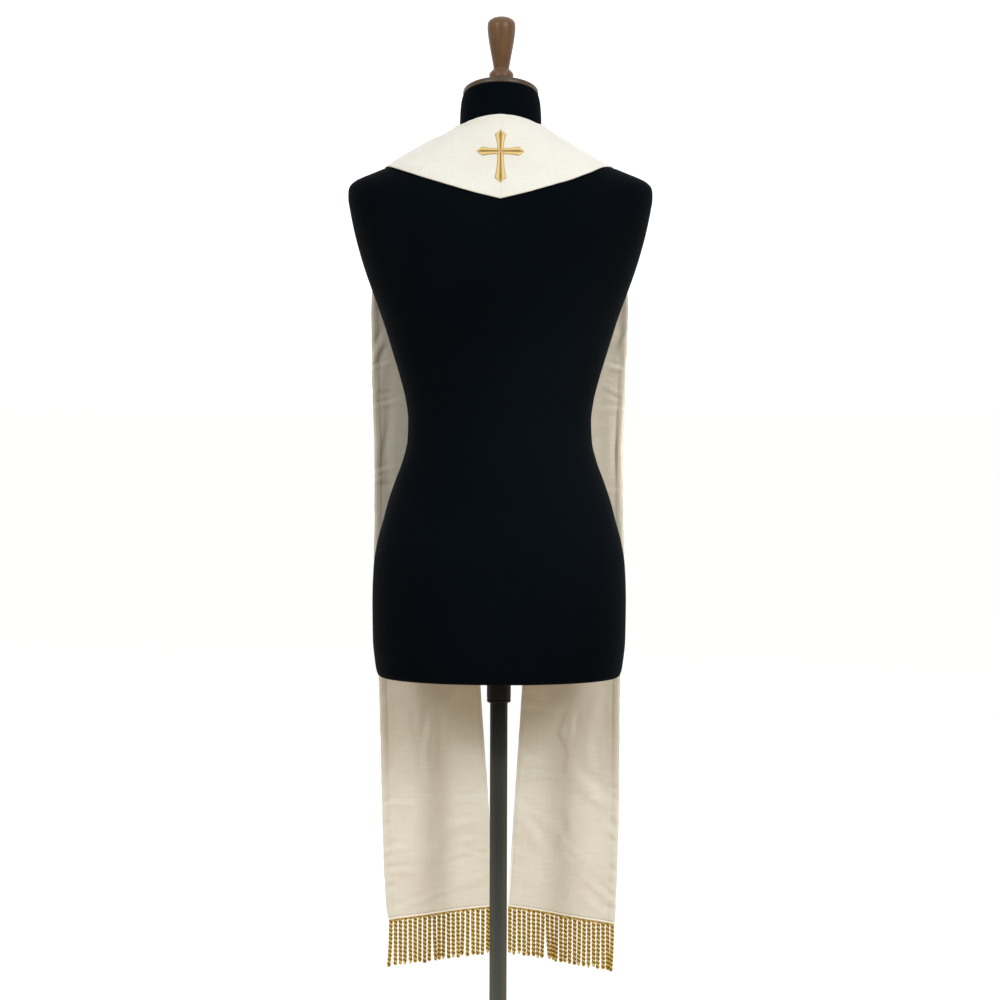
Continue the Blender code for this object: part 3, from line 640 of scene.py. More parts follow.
class Finish:
    """A material's nodes, with short ways to add and join them."""

    def __init__(self, name, colour, roughness):
        self.material = bpy.data.materials.new(name)
        self.material.use_nodes = True
        self.tree = self.material.node_tree
        self.surface = self.tree.nodes["Principled BSDF"]
        self.surface.inputs["Base Color"].default_value = (*colour, 1.0)
        self.surface.inputs["Roughness"].default_value = roughness

    def setting(self, values):
        for name, value in values.items():
            self.surface.inputs[name].default_value = value
        return self

    def node(self, kind, **values):
        node = self.tree.nodes.new(kind)
        for name, value in values.items():
            setattr(node, name, value)
        return node

    def join(self, source, target):
        self.tree.links.new(source, target)

    def places(self, scale, uv=True):
        """Coordinates of the cloth's own map, or of the piece, stretched by scale."""
        source = self.node("ShaderNodeTexCoord").outputs["UV" if uv else "Object"]
        mapping = self.node("ShaderNodeMapping")
        mapping.inputs["Scale"].default_value = scale
        self.join(source, mapping.inputs["Vector"])
        return mapping.outputs["Vector"]

    def noise(self, places, scale=1.0, detail=2.0, roughness=0.5):
        node = self.node("ShaderNodeTexNoise")
        node.inputs["Scale"].default_value = scale
        node.inputs["Detail"].default_value = detail
        node.inputs["Roughness"].default_value = roughness
        self.join(places, node.inputs["Vector"])
        return node.outputs["Fac"]

    def bands(self, places, direction, scale=1.0, distortion=0.0):
        node = self.node("ShaderNodeTexWave", wave_type="BANDS", bands_direction=direction)
        node.inputs["Scale"].default_value = scale
        node.inputs["Distortion"].default_value = distortion
        self.join(places, node.inputs["Vector"])
        return node.outputs["Fac"]

    def sum(self, *terms):
        """The sum of (output, share) pairs."""
        total = None
        for output, share in terms:
            node = self.node("ShaderNodeMath", operation="MULTIPLY_ADD")
            self.join(output, node.inputs[0])
            node.inputs[1].default_value = share
            node.inputs[2].default_value = 0.0
            if total is not None:
                self.join(total, node.inputs[2])
            total = node.outputs[0]
        return total

    def product(self, first, second):
        """Two colours multiplied channel by channel."""
        node = self.node("ShaderNodeVectorMath", operation="MULTIPLY")
        self.join(first, node.inputs[0])
        self.join(second, node.inputs[1])
        return node.outputs[0]

    def colours(self, factor, stops):
        """Colour by a ramp of (position, colour) stops."""
        ramp = self.node("ShaderNodeValToRGB")
        elements = ramp.color_ramp.elements
        while len(elements) < len(stops):
            elements.new(0.5)
        for element, (position, colour) in zip(elements, stops):
            element.position = position
            element.color = (*colour, 1.0)
        self.join(factor, ramp.inputs["Fac"])
        return ramp.outputs["Color"]

    def tinted(self, base, tint, factor):
        """The base colour turned towards a tint by a factor."""
        node = self.node("ShaderNodeMix", data_type="RGBA")
        self.join(factor, node.inputs["Factor"])
        self.join(base, node.inputs["A"])
        node.inputs["B"].default_value = (*tint, 1.0)
        return node.outputs["Result"]

    def coloured(self, output):
        self.join(output, self.surface.inputs["Base Color"])
        return self

    def rough(self, factor, low, high):
        node = self.node("ShaderNodeMapRange")
        node.inputs["To Min"].default_value = low
        node.inputs["To Max"].default_value = high
        self.join(factor, node.inputs["Value"])
        self.join(node.outputs["Result"], self.surface.inputs["Roughness"])
        return self

    def bumped(self, height, distance, strength=1.0):
        node = self.node("ShaderNodeBump")
        node.inputs["Distance"].default_value = distance
        node.inputs["Strength"].default_value = strength
        self.join(height, node.inputs["Height"])
        self.join(node.outputs["Normal"], self.surface.inputs["Normal"])
        return self


def ivory_weave():
    """Plain weave with uneven slubs in both directions, a soft lustre."""
    finish = Finish("ivory_weave", (0.83, 0.80, 0.71), 0.62)
    finish.setting({"Sheen Weight": 0.25, "Sheen Roughness": 0.4, "Specular IOR Level": 0.35})
    warp = finish.bands(finish.places((1900.0, 1900.0, 1.0)), "X", 0.33, 2.0)
    weft = finish.bands(finish.places((1900.0, 1900.0, 1.0)), "Y", 0.33, 2.0)
    weft_slub = finish.noise(finish.places((55.0, 620.0, 1.0)), 1.0, 2.0, 0.55)
    warp_slub = finish.noise(finish.places((620.0, 45.0, 1.0)), 1.0, 2.0, 0.55)
    blotch = finish.noise(finish.places((24.0, 24.0, 1.0)), 1.0, 4.0, 0.6)
    tone = finish.sum((weft_slub, 0.4), (warp_slub, 0.3), (blotch, 0.3))
    cloth = finish.colours(tone, [
        (0.28, (0.532, 0.505, 0.442)),
        (0.46, (0.583, 0.558, 0.493)),
        (0.56, (0.602, 0.580, 0.516)),
        (0.76, (0.650, 0.632, 0.575)),
    ])
    # Painted highlight: the turned edges near the hem are tinted towards cream by the level the
    # sheet carries, standing in for light on the rolled edge.
    edge = finish.node("ShaderNodeAttribute", attribute_name="painted_light").outputs["Fac"]
    finish.coloured(finish.tinted(cloth, (0.86, 0.80, 0.68), edge))
    crumple = finish.noise(finish.places((70.0, 60.0, 1.0)), 1.0, 3.0, 0.6)
    height = finish.sum(
        (warp, 0.04), (weft, 0.04), (weft_slub, 0.5), (warp_slub, 0.4), (crumple, 1.6)
    )
    finish.bumped(height, 0.25 * MM, 0.9)
    finish.rough(weft_slub, 0.7, 0.52)
    return finish.material


def beige_lining():
    """Plain lining with fine crosswise slubs."""
    finish = Finish("beige_lining", (0.62, 0.56, 0.46), 0.66)
    finish.setting({"Sheen Weight": 0.15, "Sheen Roughness": 0.4, "Specular IOR Level": 0.35})
    warp = finish.bands(finish.places((2100.0, 2100.0, 1.0)), "X", 0.33, 2.0)
    weft = finish.bands(finish.places((2100.0, 2100.0, 1.0)), "Y", 0.33, 2.0)
    weft_slub = finish.noise(finish.places((34.0, 430.0, 1.0)), 1.0, 3.0, 0.6)
    warp_slub = finish.noise(finish.places((420.0, 30.0, 1.0)), 1.0, 2.0, 0.5)
    blotch = finish.noise(finish.places((26.0, 22.0, 1.0)), 1.0, 4.0, 0.6)
    blush = finish.noise(finish.places((13.0, 9.0, 1.0)), 1.0, 2.0, 0.5)
    tone = finish.sum((weft_slub, 0.38), (warp_slub, 0.18), (blotch, 0.44))
    cloth = finish.colours(tone, [
        (0.30, (0.530, 0.484, 0.396)),
        (0.45, (0.580, 0.534, 0.441)),
        (0.56, (0.604, 0.561, 0.467)),
        (0.74, (0.684, 0.650, 0.557)),
    ])
    warmth = finish.colours(blush, [(0.50, (0.0, 0.0, 0.0)), (0.70, (0.60, 0.60, 0.60))])
    finish.coloured(finish.tinted(cloth, (0.580, 0.503, 0.420), warmth))
    crumple = finish.noise(finish.places((38.0, 75.0, 1.0)), 1.0, 4.0, 0.62)
    height = finish.sum(
        (warp, 0.04), (weft, 0.04), (weft_slub, 0.35), (warp_slub, 0.2), (crumple, 3.0)
    )
    finish.bumped(height, 0.25 * MM, 1.0)
    return finish.material


def bullion_thread():
    """Gilt thread wound on each ply: the map runs round the ply and down it, in metres."""
    finish = Finish("bullion_thread", (0.52, 0.34, 0.11), 0.45)
    finish.setting({"Metallic": 0.35, "Specular IOR Level": 0.25})
    # Painted shade and highlight: the ramp darkens each point by how near the strand's axis it
    # lies, painting shade into the grooves between the plies and light on their outer sides, and
    # the blotches along each ply add painted glints.
    painted_light = finish.node("ShaderNodeAttribute", attribute_name="painted_light").outputs["Fac"]
    winds = finish.bands(finish.places((9.0, 2400.0, 1.0)), "DIAGONAL", 0.33, 0.3)
    blotch = finish.noise(finish.places((3.0, 420.0, 1.0)), 1.0, 2.0, 0.7)
    tone = finish.sum((painted_light, 0.72), (winds, 0.06), (blotch, 0.40))
    finish.coloured(finish.colours(tone, [
        (0.52, (0.112, 0.055, 0.005)),
        (0.70, (0.210, 0.114, 0.012)),
        (0.84, (0.362, 0.224, 0.033)),
        (0.97, (0.710, 0.500, 0.140)),
    ]))
    finish.bumped(winds, 0.10 * MM, 0.8)
    return finish.material


def satin_stitch():
    """Gold satin stitch: the map runs from each arm's groove to its outline, and out along it."""
    finish = Finish("satin_stitch", (0.67, 0.46, 0.15), 0.36)
    finish.setting({"Metallic": 0.15, "Sheen Weight": 0.05, "Specular IOR Level": 0.4})
    across = finish.node("ShaderNodeSeparateXYZ")
    finish.join(finish.places((1.0, 1.0, 1.0)), across.inputs[0])
    blotch = finish.noise(finish.places((0.6, 700.0, 1.0)), 1.0, 2.0, 0.6)
    # Across each lobe, from groove to outline: the groove dark as painted shade, the crown light
    # as a painted highlight, and darker again at the outline, partly its own darker edge and
    # partly painted shade.
    base = finish.colours(across.outputs["X"], [
        (0.00, (0.150, 0.080, 0.009)),
        (0.22, (0.270, 0.155, 0.025)),
        (0.40, (0.580, 0.395, 0.120)),
        (0.64, (0.625, 0.445, 0.165)),
        (0.84, (0.400, 0.265, 0.075)),
        (1.00, (0.190, 0.118, 0.022)),
    ])
    finish.coloured(finish.tinted(base, (0.78, 0.61, 0.28), finish.sum((blotch, 0.26))))
    finish.bumped(finish.bands(finish.places((0.0, 6000.0, 1.0)), "Y", 0.33, 0.5), 0.03 * MM, 0.7)
    return finish.material


def black_jersey():
    """Fine matt knit, in rows round the form."""
    finish = Finish("black_jersey", (0.0015, 0.0025, 0.004), 0.75)
    finish.setting({"Specular IOR Level": 0.02})
    wales = finish.bands(finish.places((1300.0, 1300.0, 1.0)), "X", 0.33, 0.4)
    courses = finish.bands(finish.places((1700.0, 1700.0, 1.0)), "Y", 0.33, 0.4)
    fuzz = finish.noise(finish.places((900.0, 900.0, 1.0)), 1.0, 2.0, 0.6)
    blotch = finish.noise(finish.places((7.0, 5.0, 1.0)), 1.0, 3.0, 0.5)
    tone = finish.sum((fuzz, 0.45), (blotch, 0.35), (wales, 0.1), (courses, 0.1))
    finish.coloured(finish.colours(tone, [
        (0.30, (0.0003, 0.0011, 0.0017)),
        (0.55, (0.0009, 0.0020, 0.0034)),
        (0.75, (0.0026, 0.0040, 0.0062)),
    ]))
    finish.bumped(finish.sum((wales, 0.5), (courses, 0.4), (fuzz, 0.6)), 0.12 * MM, 0.8)
    return finish.material


def stained_wood(name, stretch, dark, contrast):
    """Stained wood, satin, its grain drawn out by the stretch."""
    finish = Finish(name, (0.15, 0.085, 0.045), 0.42)
    finish.setting({"Coat Weight": 0.06, "Coat Roughness": 0.3, "Specular IOR Level": 0.3})
    grain = finish.noise(finish.places(stretch, uv=False), 1.0, 5.0, 0.62)
    pores = finish.noise(finish.places([s * 3.4 for s in stretch], uv=False), 1.0, 3.0, 0.7)
    tone = finish.sum((grain, 0.68), (pores, 0.32))
    finish.coloured(finish.colours(tone, [
        (0.30, tuple((1 - 0.70 * contrast) * c for c in dark)),
        (0.44, tuple((1 - 0.28 * contrast) * c for c in dark)),
        (0.56, dark),
        (0.72, tuple((1 + 0.65 * contrast) * c for c in dark)),
    ]))
    finish.bumped(tone, 0.12 * MM, 0.7)
    finish.rough(tone, 0.52, 0.34)
    return finish.material


def gunmetal():
    """Drawn steel tube with paler lines along it, painted shade near the top and painted side
    reflections.
    """
    finish = Finish("gunmetal", (0.060, 0.062, 0.058), 0.36)
    finish.setting({"Specular IOR Level": 0.16})
    lines = finish.noise(finish.places((900.0, 900.0, 9.0), uv=False), 1.0, 3.0, 0.6)
    cloud = finish.noise(finish.places((14.0, 14.0, 5.0), uv=False), 1.0, 3.0, 0.5)
    height = finish.node("ShaderNodeSeparateXYZ")
    finish.join(finish.places((1.0, 1.0, 1.0), uv=False), height.inputs[0])
    # Painted shade: the colour darkens towards the top of the pole, standing in for the shade
    # under the form.
    painted_shade = finish.colours(height.outputs["Z"], [
        (0.300, (0.076, 0.079, 0.069)),
        (0.410, (0.052, 0.056, 0.047)),
        (0.520, (0.034, 0.038, 0.031)),
        (0.600, (0.028, 0.032, 0.026)),
        (0.626, (0.012, 0.014, 0.011)),
        (0.665, (0.004, 0.005, 0.004)),
    ])
    tone = finish.sum((lines, 0.5), (cloud, 0.5))
    shade = finish.colours(tone, [(0.30, (0.72, 0.72, 0.72)), (0.70, (1.0, 1.0, 1.0))])
    # Painted reflections: paler stripes down both sides of the pole and very dark edges, set by
    # the distance from its axis.
    aside = finish.node("ShaderNodeMath", operation="ABSOLUTE")
    finish.join(height.outputs["X"], aside.inputs[0])
    drawn = finish.colours(finish.sum((aside.outputs[0], 1 / (POLE_RADIUS * MM))), [
        (0.00, (0.78, 0.82, 0.84)),
        (0.34, (0.84, 0.88, 0.88)),
        (0.56, (1.20, 1.14, 1.02)),
        (0.78, (1.22, 1.12, 0.96)),
        (0.93, (0.50, 0.48, 0.44)),
    ])
    finish.coloured(finish.product(finish.product(painted_shade, shade), drawn))
    finish.bumped(lines, 0.02 * MM, 0.6)
    finish.rough(cloud, 0.24, 0.36)
    return finish.material


def black_enamel():
    """Satin black enamel with a fine grain."""
    finish = Finish("black_enamel", (0.006, 0.006, 0.0055), 0.38)
    finish.setting({"Specular IOR Level": 0.14})
    grain = finish.noise(finish.places((850.0, 850.0, 850.0), uv=False), 1.0, 2.0, 0.5)
    cloud = finish.noise(finish.places((11.0, 11.0, 11.0), uv=False), 1.0, 3.0, 0.5)
    finish.coloured(finish.colours(cloud, [
        (0.35, (0.0025, 0.0026, 0.0022)),
        (0.65, (0.0050, 0.0051, 0.0044)),
    ]))
    finish.bumped(grain, 0.03 * MM, 0.5)
    finish.rough(cloud, 0.33, 0.46)
    return finish.material


# ------------------------------------------------------------------ curves through tables

def slope_at(table, index, column):
    """Slope of a column at a row, limited so that the curve never overshoots its rows."""
    last = len(table) - 1
    slopes = []
    spans = []
    for low in (index - 1, index):
        if 0 <= low < last:
            span = table[low + 1][0] - table[low][0]
            spans.append(span)
            slopes.append((table[low + 1][column] - table[low][column]) / span)
    if len(slopes) == 1:
        return slopes[0]
    before, after = slopes
    if before * after <= 0:
        return 0.0
    near_after = 2 * spans[1] + spans[0]
    near_before = spans[1] + 2 * spans[0]
    return (near_after + near_before) / (near_after / before + near_before / after)


def row_at(table, key):
    """The table's row at a key in its first column, eased between the rows beside it."""
    keys = [row[0] for row in table]
    index = min(max(bisect_right(keys, key) - 1, 0), len(table) - 2)
    span = keys[index + 1] - keys[index]
    t = min(max((key - keys[index]) / span, 0.0), 1.0)
    values = [key]
    for column in range(1, len(table[0])):
        start = table[index][column]
        end = table[index + 1][column]
        leave = slope_at(table, index, column) * span
        arrive = slope_at(table, index + 1, column) * span
        values.append(
            start * (1 + 2 * t) * (1 - t) ** 2
            + leave * t * (1 - t) ** 2
            + end * t * t * (3 - 2 * t)
            + arrive * t * t * (t - 1)
        )
    return type(table[0])(*values)


def eased(t):
    t = min(max(t, 0.0), 1.0)
    return t * t * (3 - 2 * t)


# ------------------------------------------------------------------ meshes

def new_piece(name, mesh, material):
    piece = bpy.data.objects.new(name, mesh)
    mesh.materials.append(material)
    bpy.context.scene.collection.objects.link(piece)
    return piece


def mesh_of(name, points, faces, uvs=None, painted_light_levels=None):
    """A mesh from points and faces, with a map and a painted light level given point by point."""
    mesh = bpy.data.meshes.new(name)
    mesh.from_pydata([tuple(point) for point in points], [], faces)
    if uvs is not None:
        layer = mesh.uv_layers.new(name="cloth")
        corners = np.empty(len(mesh.loops), dtype=np.int32)
        mesh.loops.foreach_get("vertex_index", corners)
        layer.data.foreach_set("uv", np.asarray(uvs, dtype=np.float32)[corners].ravel())
    if painted_light_levels is not None:
        shade = mesh.attributes.new("painted_light", "FLOAT", "POINT")
        shade.data.foreach_set("value", np.asarray(painted_light_levels, dtype=np.float32))
    mesh.shade_smooth()
    mesh.validate()
    return mesh


def start_by_hand():
    """Leave edit mode with nothing selected, ready for the next primitive."""
    if bpy.context.mode != "OBJECT":
        bpy.ops.object.mode_set(mode="OBJECT")
    bpy.ops.object.select_all(action="DESELECT")


def turned_piece(name, rows, material, sides, rounded=0.0, soft=0):
    """A round piece drawn up ring by ring from a disc."""
    start_by_hand()
    first = rows[0]
    bpy.ops.mesh.primitive_circle_add(
        vertices=sides, radius=first.radius * MM, fill_type="NGON",
        location=(0.0, 0.0, first.z * MM),
    )
    piece = bpy.context.object
    piece.name = name
    bpy.ops.object.transform_apply(location=True, rotation=True, scale=True)
    bpy.ops.object.mode_set(mode="EDIT")
    bpy.ops.mesh.select_all(action="SELECT")
    for lower, upper in zip(rows, rows[1:]):
        rise = (upper.z - lower.z) * MM
        bpy.ops.mesh.extrude_region_move(TRANSFORM_OT_translate={"value": (0.0, 0.0, rise)})
        share = upper.radius / lower.radius
        bpy.ops.transform.resize(
            value=(share, share, 1.0), center_override=(0.0, 0.0, upper.z * MM)
        )
    bpy.ops.mesh.select_all(action="SELECT")
    bpy.ops.mesh.normals_make_consistent(inside=False)
    bpy.ops.object.mode_set(mode="OBJECT")
    if rounded:
        edge = piece.modifiers.new("rounding", "BEVEL")
        edge.width = rounded * MM
        edge.segments = 3
        edge.limit_method = "ANGLE"
        edge.angle_limit = math.radians(30)
        bpy.ops.object.modifier_apply(modifier=edge.name)
    if soft:
        smoothing = piece.modifiers.new("smoothing", "SUBSURF")
        smoothing.levels = soft
        smoothing.render_levels = soft
        bpy.ops.object.modifier_apply(modifier=smoothing.name)
    bpy.ops.object.shade_smooth_by_angle(angle=math.radians(35))
    piece.data.materials.append(material)
    return piece


# ------------------------------------------------------------------ dress form and its stand

def form_ring(z):
    """Points of the form's section at a height given in millimetres."""
    row = row_at(FORM, z)
    centre = (row.back - row.front) / 2
    depth = (row.back + row.front) / 2
    power = 2 / row.squareness
    tilt = math.tan(NECK_TILT) * eased((z - NECK_TILT_START) / (NECK_TOP - NECK_TILT_START))
    ring = []
    for sector in range(FORM_SECTORS):
        angle = math.tau * sector / FORM_SECTORS
        across = math.copysign(abs(math.cos(angle)) ** power, math.cos(angle))
        deep = math.copysign(abs(math.sin(angle)) ** power, math.sin(angle))
        y = centre + depth * deep
        ring.append(Vector((row.half_width * across, y, z + (y - centre) * tilt)) * MM)
    return ring


def form_heights():
    heights = []
    for low, high in zip(FORM, FORM[1:]):
        steps = math.ceil((high.z - low.z) / FORM_STEP)
        heights += [low.z + (high.z - low.z) * step / steps for step in range(steps)]
    return heights + [FORM[-1].z]


def make_form(material):
    """The stuffed form under its jersey cover, closed below by a flat board."""
    rings = [form_ring(z) for z in form_heights()]
    points = [point for ring in rings for point in ring]
    faces = []
    for lower in range(len(rings) - 1):
        for sector in range(FORM_SECTORS):
            following = (sector + 1) % FORM_SECTORS
            low, high = lower * FORM_SECTORS, (lower + 1) * FORM_SECTORS
            faces.append((low + sector, low + following, high + following, high + sector))
    uvs = []
    for ring in rings:
        girth = sum((b - a).length for a, b in zip(ring, ring[1:] + ring[:1]))
        for sector, point in enumerate(ring):
            turn = sector / FORM_SECTORS
            uvs.append((girth * abs(turn - 0.5), point.z))
    for ring, direction in ((0, 1), (len(rings) - 1, -1)):
        start = ring * FORM_SECTORS
        loop = [points[start + sector] for sector in range(FORM_SECTORS)]
        middle = sum(loop, Vector()) / FORM_SECTORS
        last = start
        for share in (0.97, 0.6, 0.2):
            following = len(points)
            points += [middle.lerp(point, share) for point in loop]
            uvs += [(point.x, point.y) for point in points[following:]]
            for sector in range(FORM_SECTORS):
                after = (sector + 1) % FORM_SECTORS
                corners = (last + sector, following + sector, following + after, last + after)
                faces.append(corners if direction > 0 else corners[::-1])
            last = following
        points.append(middle)
        uvs.append((middle.x, middle.y))
        for sector in range(FORM_SECTORS):
            corners = (last + sector, len(points) - 1, last + (sector + 1) % FORM_SECTORS)
            faces.append(corners if direction > 0 else corners[::-1])
    form = new_piece("jersey_form", mesh_of("jersey_form", points, faces, uvs), material)
    form.data.set_sharp_from_angle(angle=math.radians(40))
    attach(form, "root")
    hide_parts("form_body")
    return form


def neck_frame():
    """Placement of the neck's tilted top face."""
    top = row_at(FORM, NECK_TOP)
    centre = Vector((0.0, (top.back - top.front) / 2, NECK_TOP)) * MM
    return Matrix.Translation(centre) @ Matrix.Rotation(NECK_TILT, 4, "X")


def make_neck_cap():
    wood = stained_wood("cap_wood", (26.0, 420.0, 300.0), (0.062, 0.039, 0.022), 1.0)
    cap = turned_piece("turned_neck_cap", NECK_CAP, wood, 96, rounded=0.2)
    cap.matrix_world = neck_frame()
    bpy.ops.object.transform_apply(location=True, rotation=True, scale=True)
    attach(cap, "root")
    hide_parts("neck_cap")


def make_finial():
    """The turned knob, its foot cut to the slope of the cap."""
    wood = stained_wood("finial_wood", (330.0, 330.0, 22.0), (0.112, 0.054, 0.021), 0.45)
    finial = turned_piece("turned_finial", FINIAL, wood, 56, soft=1)
    seat = neck_frame()
    finial.location = (FINIAL_SHIFT, seat.translation.y, 0.0)
    bpy.ops.object.transform_apply(location=True, rotation=True, scale=True)
    bpy.ops.object.mode_set(mode="EDIT")
    bpy.ops.mesh.select_all(action="SELECT")
    foot = seat @ Vector((0.0, 0.0, (NECK_CAP[-1].z + 0.1) * MM))
    bpy.ops.mesh.bisect(
        plane_co=foot, plane_no=seat.to_3x3() @ Vector((0.0, 0.0, 1.0)),
        use_fill=True, clear_inner=True,
    )
    bpy.ops.object.mode_set(mode="OBJECT")
    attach(finial, "root")
    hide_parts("finial")


def make_stand():
    steel = gunmetal()
    enamel = black_enamel()
    for name, rows, material, rounded, node, slot in (
        ("round_base", BASE, enamel, 1.2, "base", "black_metal"),
        ("steel_pole", POLE, steel, 0.3, "pole", "pole_steel"),
    ):
        piece = turned_piece(name, rows, material, 96, rounded=rounded)
        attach(piece, "root")
        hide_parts(node)

    collar = turned_piece("pole_collar", COLLAR, enamel, 72, rounded=0.25)
    bore_through(collar, POLE_RADIUS + 0.15)
    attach(collar, "root")
    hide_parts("collar")


def bore_through(piece, radius):
    """Open a round piece's two end faces for the pole and join their rims by a bore."""
    bpy.ops.object.mode_set(mode="EDIT")
    work = bmesh.from_edit_mesh(piece.data)
    for face in work.faces:
        face.select_set(len(face.verts) > 8)
    bmesh.update_edit_mesh(piece.data)
    bpy.ops.mesh.select_mode(type="FACE")
    faces = [face for face in work.faces if face.select]
    width = min((face.verts[0].co.xy.length for face in faces)) - radius * MM
    bpy.ops.mesh.inset(thickness=width)
    bpy.ops.mesh.delete(type="FACE")
    bpy.ops.mesh.select_mode(type="EDGE")
    bpy.ops.mesh.select_all(action="DESELECT")
    bpy.ops.mesh.select_non_manifold()
    bpy.ops.mesh.bridge_edge_loops()
    bpy.ops.mesh.select_all(action="SELECT")
    bpy.ops.mesh.normals_make_consistent(inside=False)
    bpy.ops.object.mode_set(mode="OBJECT")


# ------------------------------------------------------------------ stole

def fold_offset(side, place, z):
    """How far the band's folds stand out at a place across it and a height, in millimetres."""
    offset = 0.0
    for fold in FOLDS:
        if fold.side != side:
            continue
        nearness = max(0.0, 1 - abs(place - fold.place) / (2 * fold.spread))
        fade = eased((fold.top - z) / FOLD_FADE) * eased((z - fold.bottom) / FOLD_FADE + 1)
        offset += fold.depth * eased(nearness) * fade
    return offset


def on_shoulder(along, reach):
    """1 on the ridge of the shoulder, 0 at the reach from it and beyond."""
    return eased(1 - abs(along - SHOULDER_AT) / reach)


def clearance_at(side, along, place):
    """How far the inner face is kept from the form, with the roll on the shoulder."""
    lined = eased((along - LINED_FROM) / LINING_EASE + 1)
    least = YOKE_CLEARANCE + (BAND_CLEARANCE - YOKE_CLEARANCE) * lined
    roll = eased(place / ROLL_FULL_FROM) * eased((1 - place) / (1 - ROLL_FULL_TO))
    return least + SHOULDERS[side].rise * MM * on_shoulder(along, ROLL_REACH) * roll


def band_edges(side, along):
    """The inner and outer edge points of a half, before sway, in millimetres."""
    row = row_at(STATIONS, along)
    inner = Vector((row.inner_x, row.inner_y, row.inner_z))
    outer = Vector((row.outer_x, row.outer_y, row.outer_z))
    outer = outer.lerp(inner, SHOULDERS[side].narrowing * on_shoulder(along, CORNER_REACH))
    outer.z -= HEM_DROP[side] * eased((along - HEM_DROP_FROM) / (LENGTH - HEM_DROP_FROM))
    return inner, outer, row


def stole_point(side, along, place):
    """A point of the cloth's inner face, before it is laid on the form."""
    inner, outer, row = band_edges(side, along)
    point = inner.lerp(outer, place)
    across = outer - inner
    outward = Vector((across.y, -across.x, 0.0)).normalized()
    hang = eased((along - FOLDING_FROM) / FOLDING_REACH)
    stand_out = 4 * row.bow * place * (1 - place)
    stand_out += hang * fold_offset(side, place, point.z)
    point += outward * stand_out
    point.x = max(point.x, 0.05)
    sway = row_at(SWAY, max(point.z, SWAY[0].z))
    hand = 1 if side == "left" else -1
    point.x = hand * point.x - sway.inner - (sway.outer - sway.inner) * place
    return point * MM


def laid_on(form_tree, point, clearance, cling):
    """The point drawn to the form as closely as cling says, and never nearer than clearance."""
    spot, normal, _, _ = form_tree.find_nearest(point)
    lifted = spot + normal * clearance
    if (point - spot).dot(normal) < clearance:
        return lifted
    return point.lerp(lifted, cling)


def crease_offset(side, along, across, width):
    """How far the creases and puckers stand out, at millimetres along and across."""
    offset = 0.0
    for crease, slanting in [(c, False) for c in CREASES] + [(c, True) for c in SLANTS]:
        reach = CREASE_REACH * max(crease.length, crease.width)
        if crease.side != side or abs(along - crease.along) > reach:
            continue
        down = along - crease.along
        aside = across - crease.place * width
        turn = math.radians(crease.turn)
        lengthwise = down * math.cos(turn) + aside * math.sin(turn)
        sideways = (aside * math.cos(turn) - down * math.sin(turn)) / crease.width
        height = crease.depth * math.exp(-((lengthwise / crease.length) ** 2) - sideways ** 2)
        offset += height * SLANT_SLOPE * sideways if slanting else height
    if width - across < TICK_REACH:
        aside = (width - across - TICK_INSET) / TICK_HALF_WIDTH
        for index, tick in enumerate(EDGE_TICKS[side]):
            near = math.exp(-((along - tick) / TICK_HALF_LENGTH) ** 2 - aside ** 2)
            offset += TICK_DEPTH * (0.7 + 0.3 * math.sin(index * 2.4)) * near
    for edge, phase in ((across, 0.0), (width - across, 2.1)):
        near = eased(1 - edge / PUCKER_REACH)
        if near > 0:
            offset += PUCKER_DEPTH * near * pucker_wave(side, along, phase)
    return offset


def edge_wander(side, along, across, width):
    """How far the cloth wanders across near its edges, in millimetres."""
    wander = 0.0
    for edge, phase, way in ((across, 0.7, 1), (width - across, 2.9, -1)):
        near = way * EDGE_WANDER * eased(1 - edge / WANDER_REACH)
        wander += near * pucker_wave(side, along, phase)
    return wander * eased(along / WANDER_START)


def pucker_wave(side, along, phase):
    """An uneven wave along a sewn edge, from -1 to 1."""
    shift = phase + (0.0 if side == "left" else 1.3)
    wave = 0.0
    for order, length in enumerate(PUCKER_WAVES):
        wave += math.sin(math.tau * along / length + shift * (order + 1.7))
    swell = 0.55 + 0.45 * math.sin(math.tau * along / PUCKER_SWELL + shift)
    return wave / len(PUCKER_WAVES) * swell


def stole_stops():
    """Distances along the half where a row of points lies."""
    steps = round((LENGTH - LINING_INSET) / ROW_STEP)
    stops = [(LENGTH - LINING_INSET) * step / steps for step in range(steps + 1)]
    return stops + [LENGTH - 1.3, LENGTH - 0.5, float(LENGTH)]


def stole_columns(width):
    """Millimetres across a half, closer together at the sewn edges."""
    first, last = INNER_COLUMNS[-1], width - OUTER_COLUMNS[-1]
    middle = [first + (last - first) * c / MIDDLE_COLUMNS for c in range(1, MIDDLE_COLUMNS)]
    return list(INNER_COLUMNS) + middle + [width - edge for edge in reversed(OUTER_COLUMNS)]


def grid_normals(grid, side):
    """Outward normals of a grid of points, shape rows x columns x 3."""
    down = np.gradient(grid, axis=0)
    across = np.gradient(grid, axis=1)
    normals = np.cross(down, across) if side == "left" else np.cross(across, down)
    return normals / np.linalg.norm(normals, axis=2, keepdims=True)


def smoothed(grid, times):
    """The grid with each inner point eased towards its neighbours."""
    grid = grid.copy()
    for _ in range(times):
        around = (grid[:-2, 1:-1] + grid[2:, 1:-1] + grid[1:-1, :-2] + grid[1:-1, 2:]) / 4
        grid[1:-1, 1:-1] += 0.5 * (around - grid[1:-1, 1:-1])
    return grid


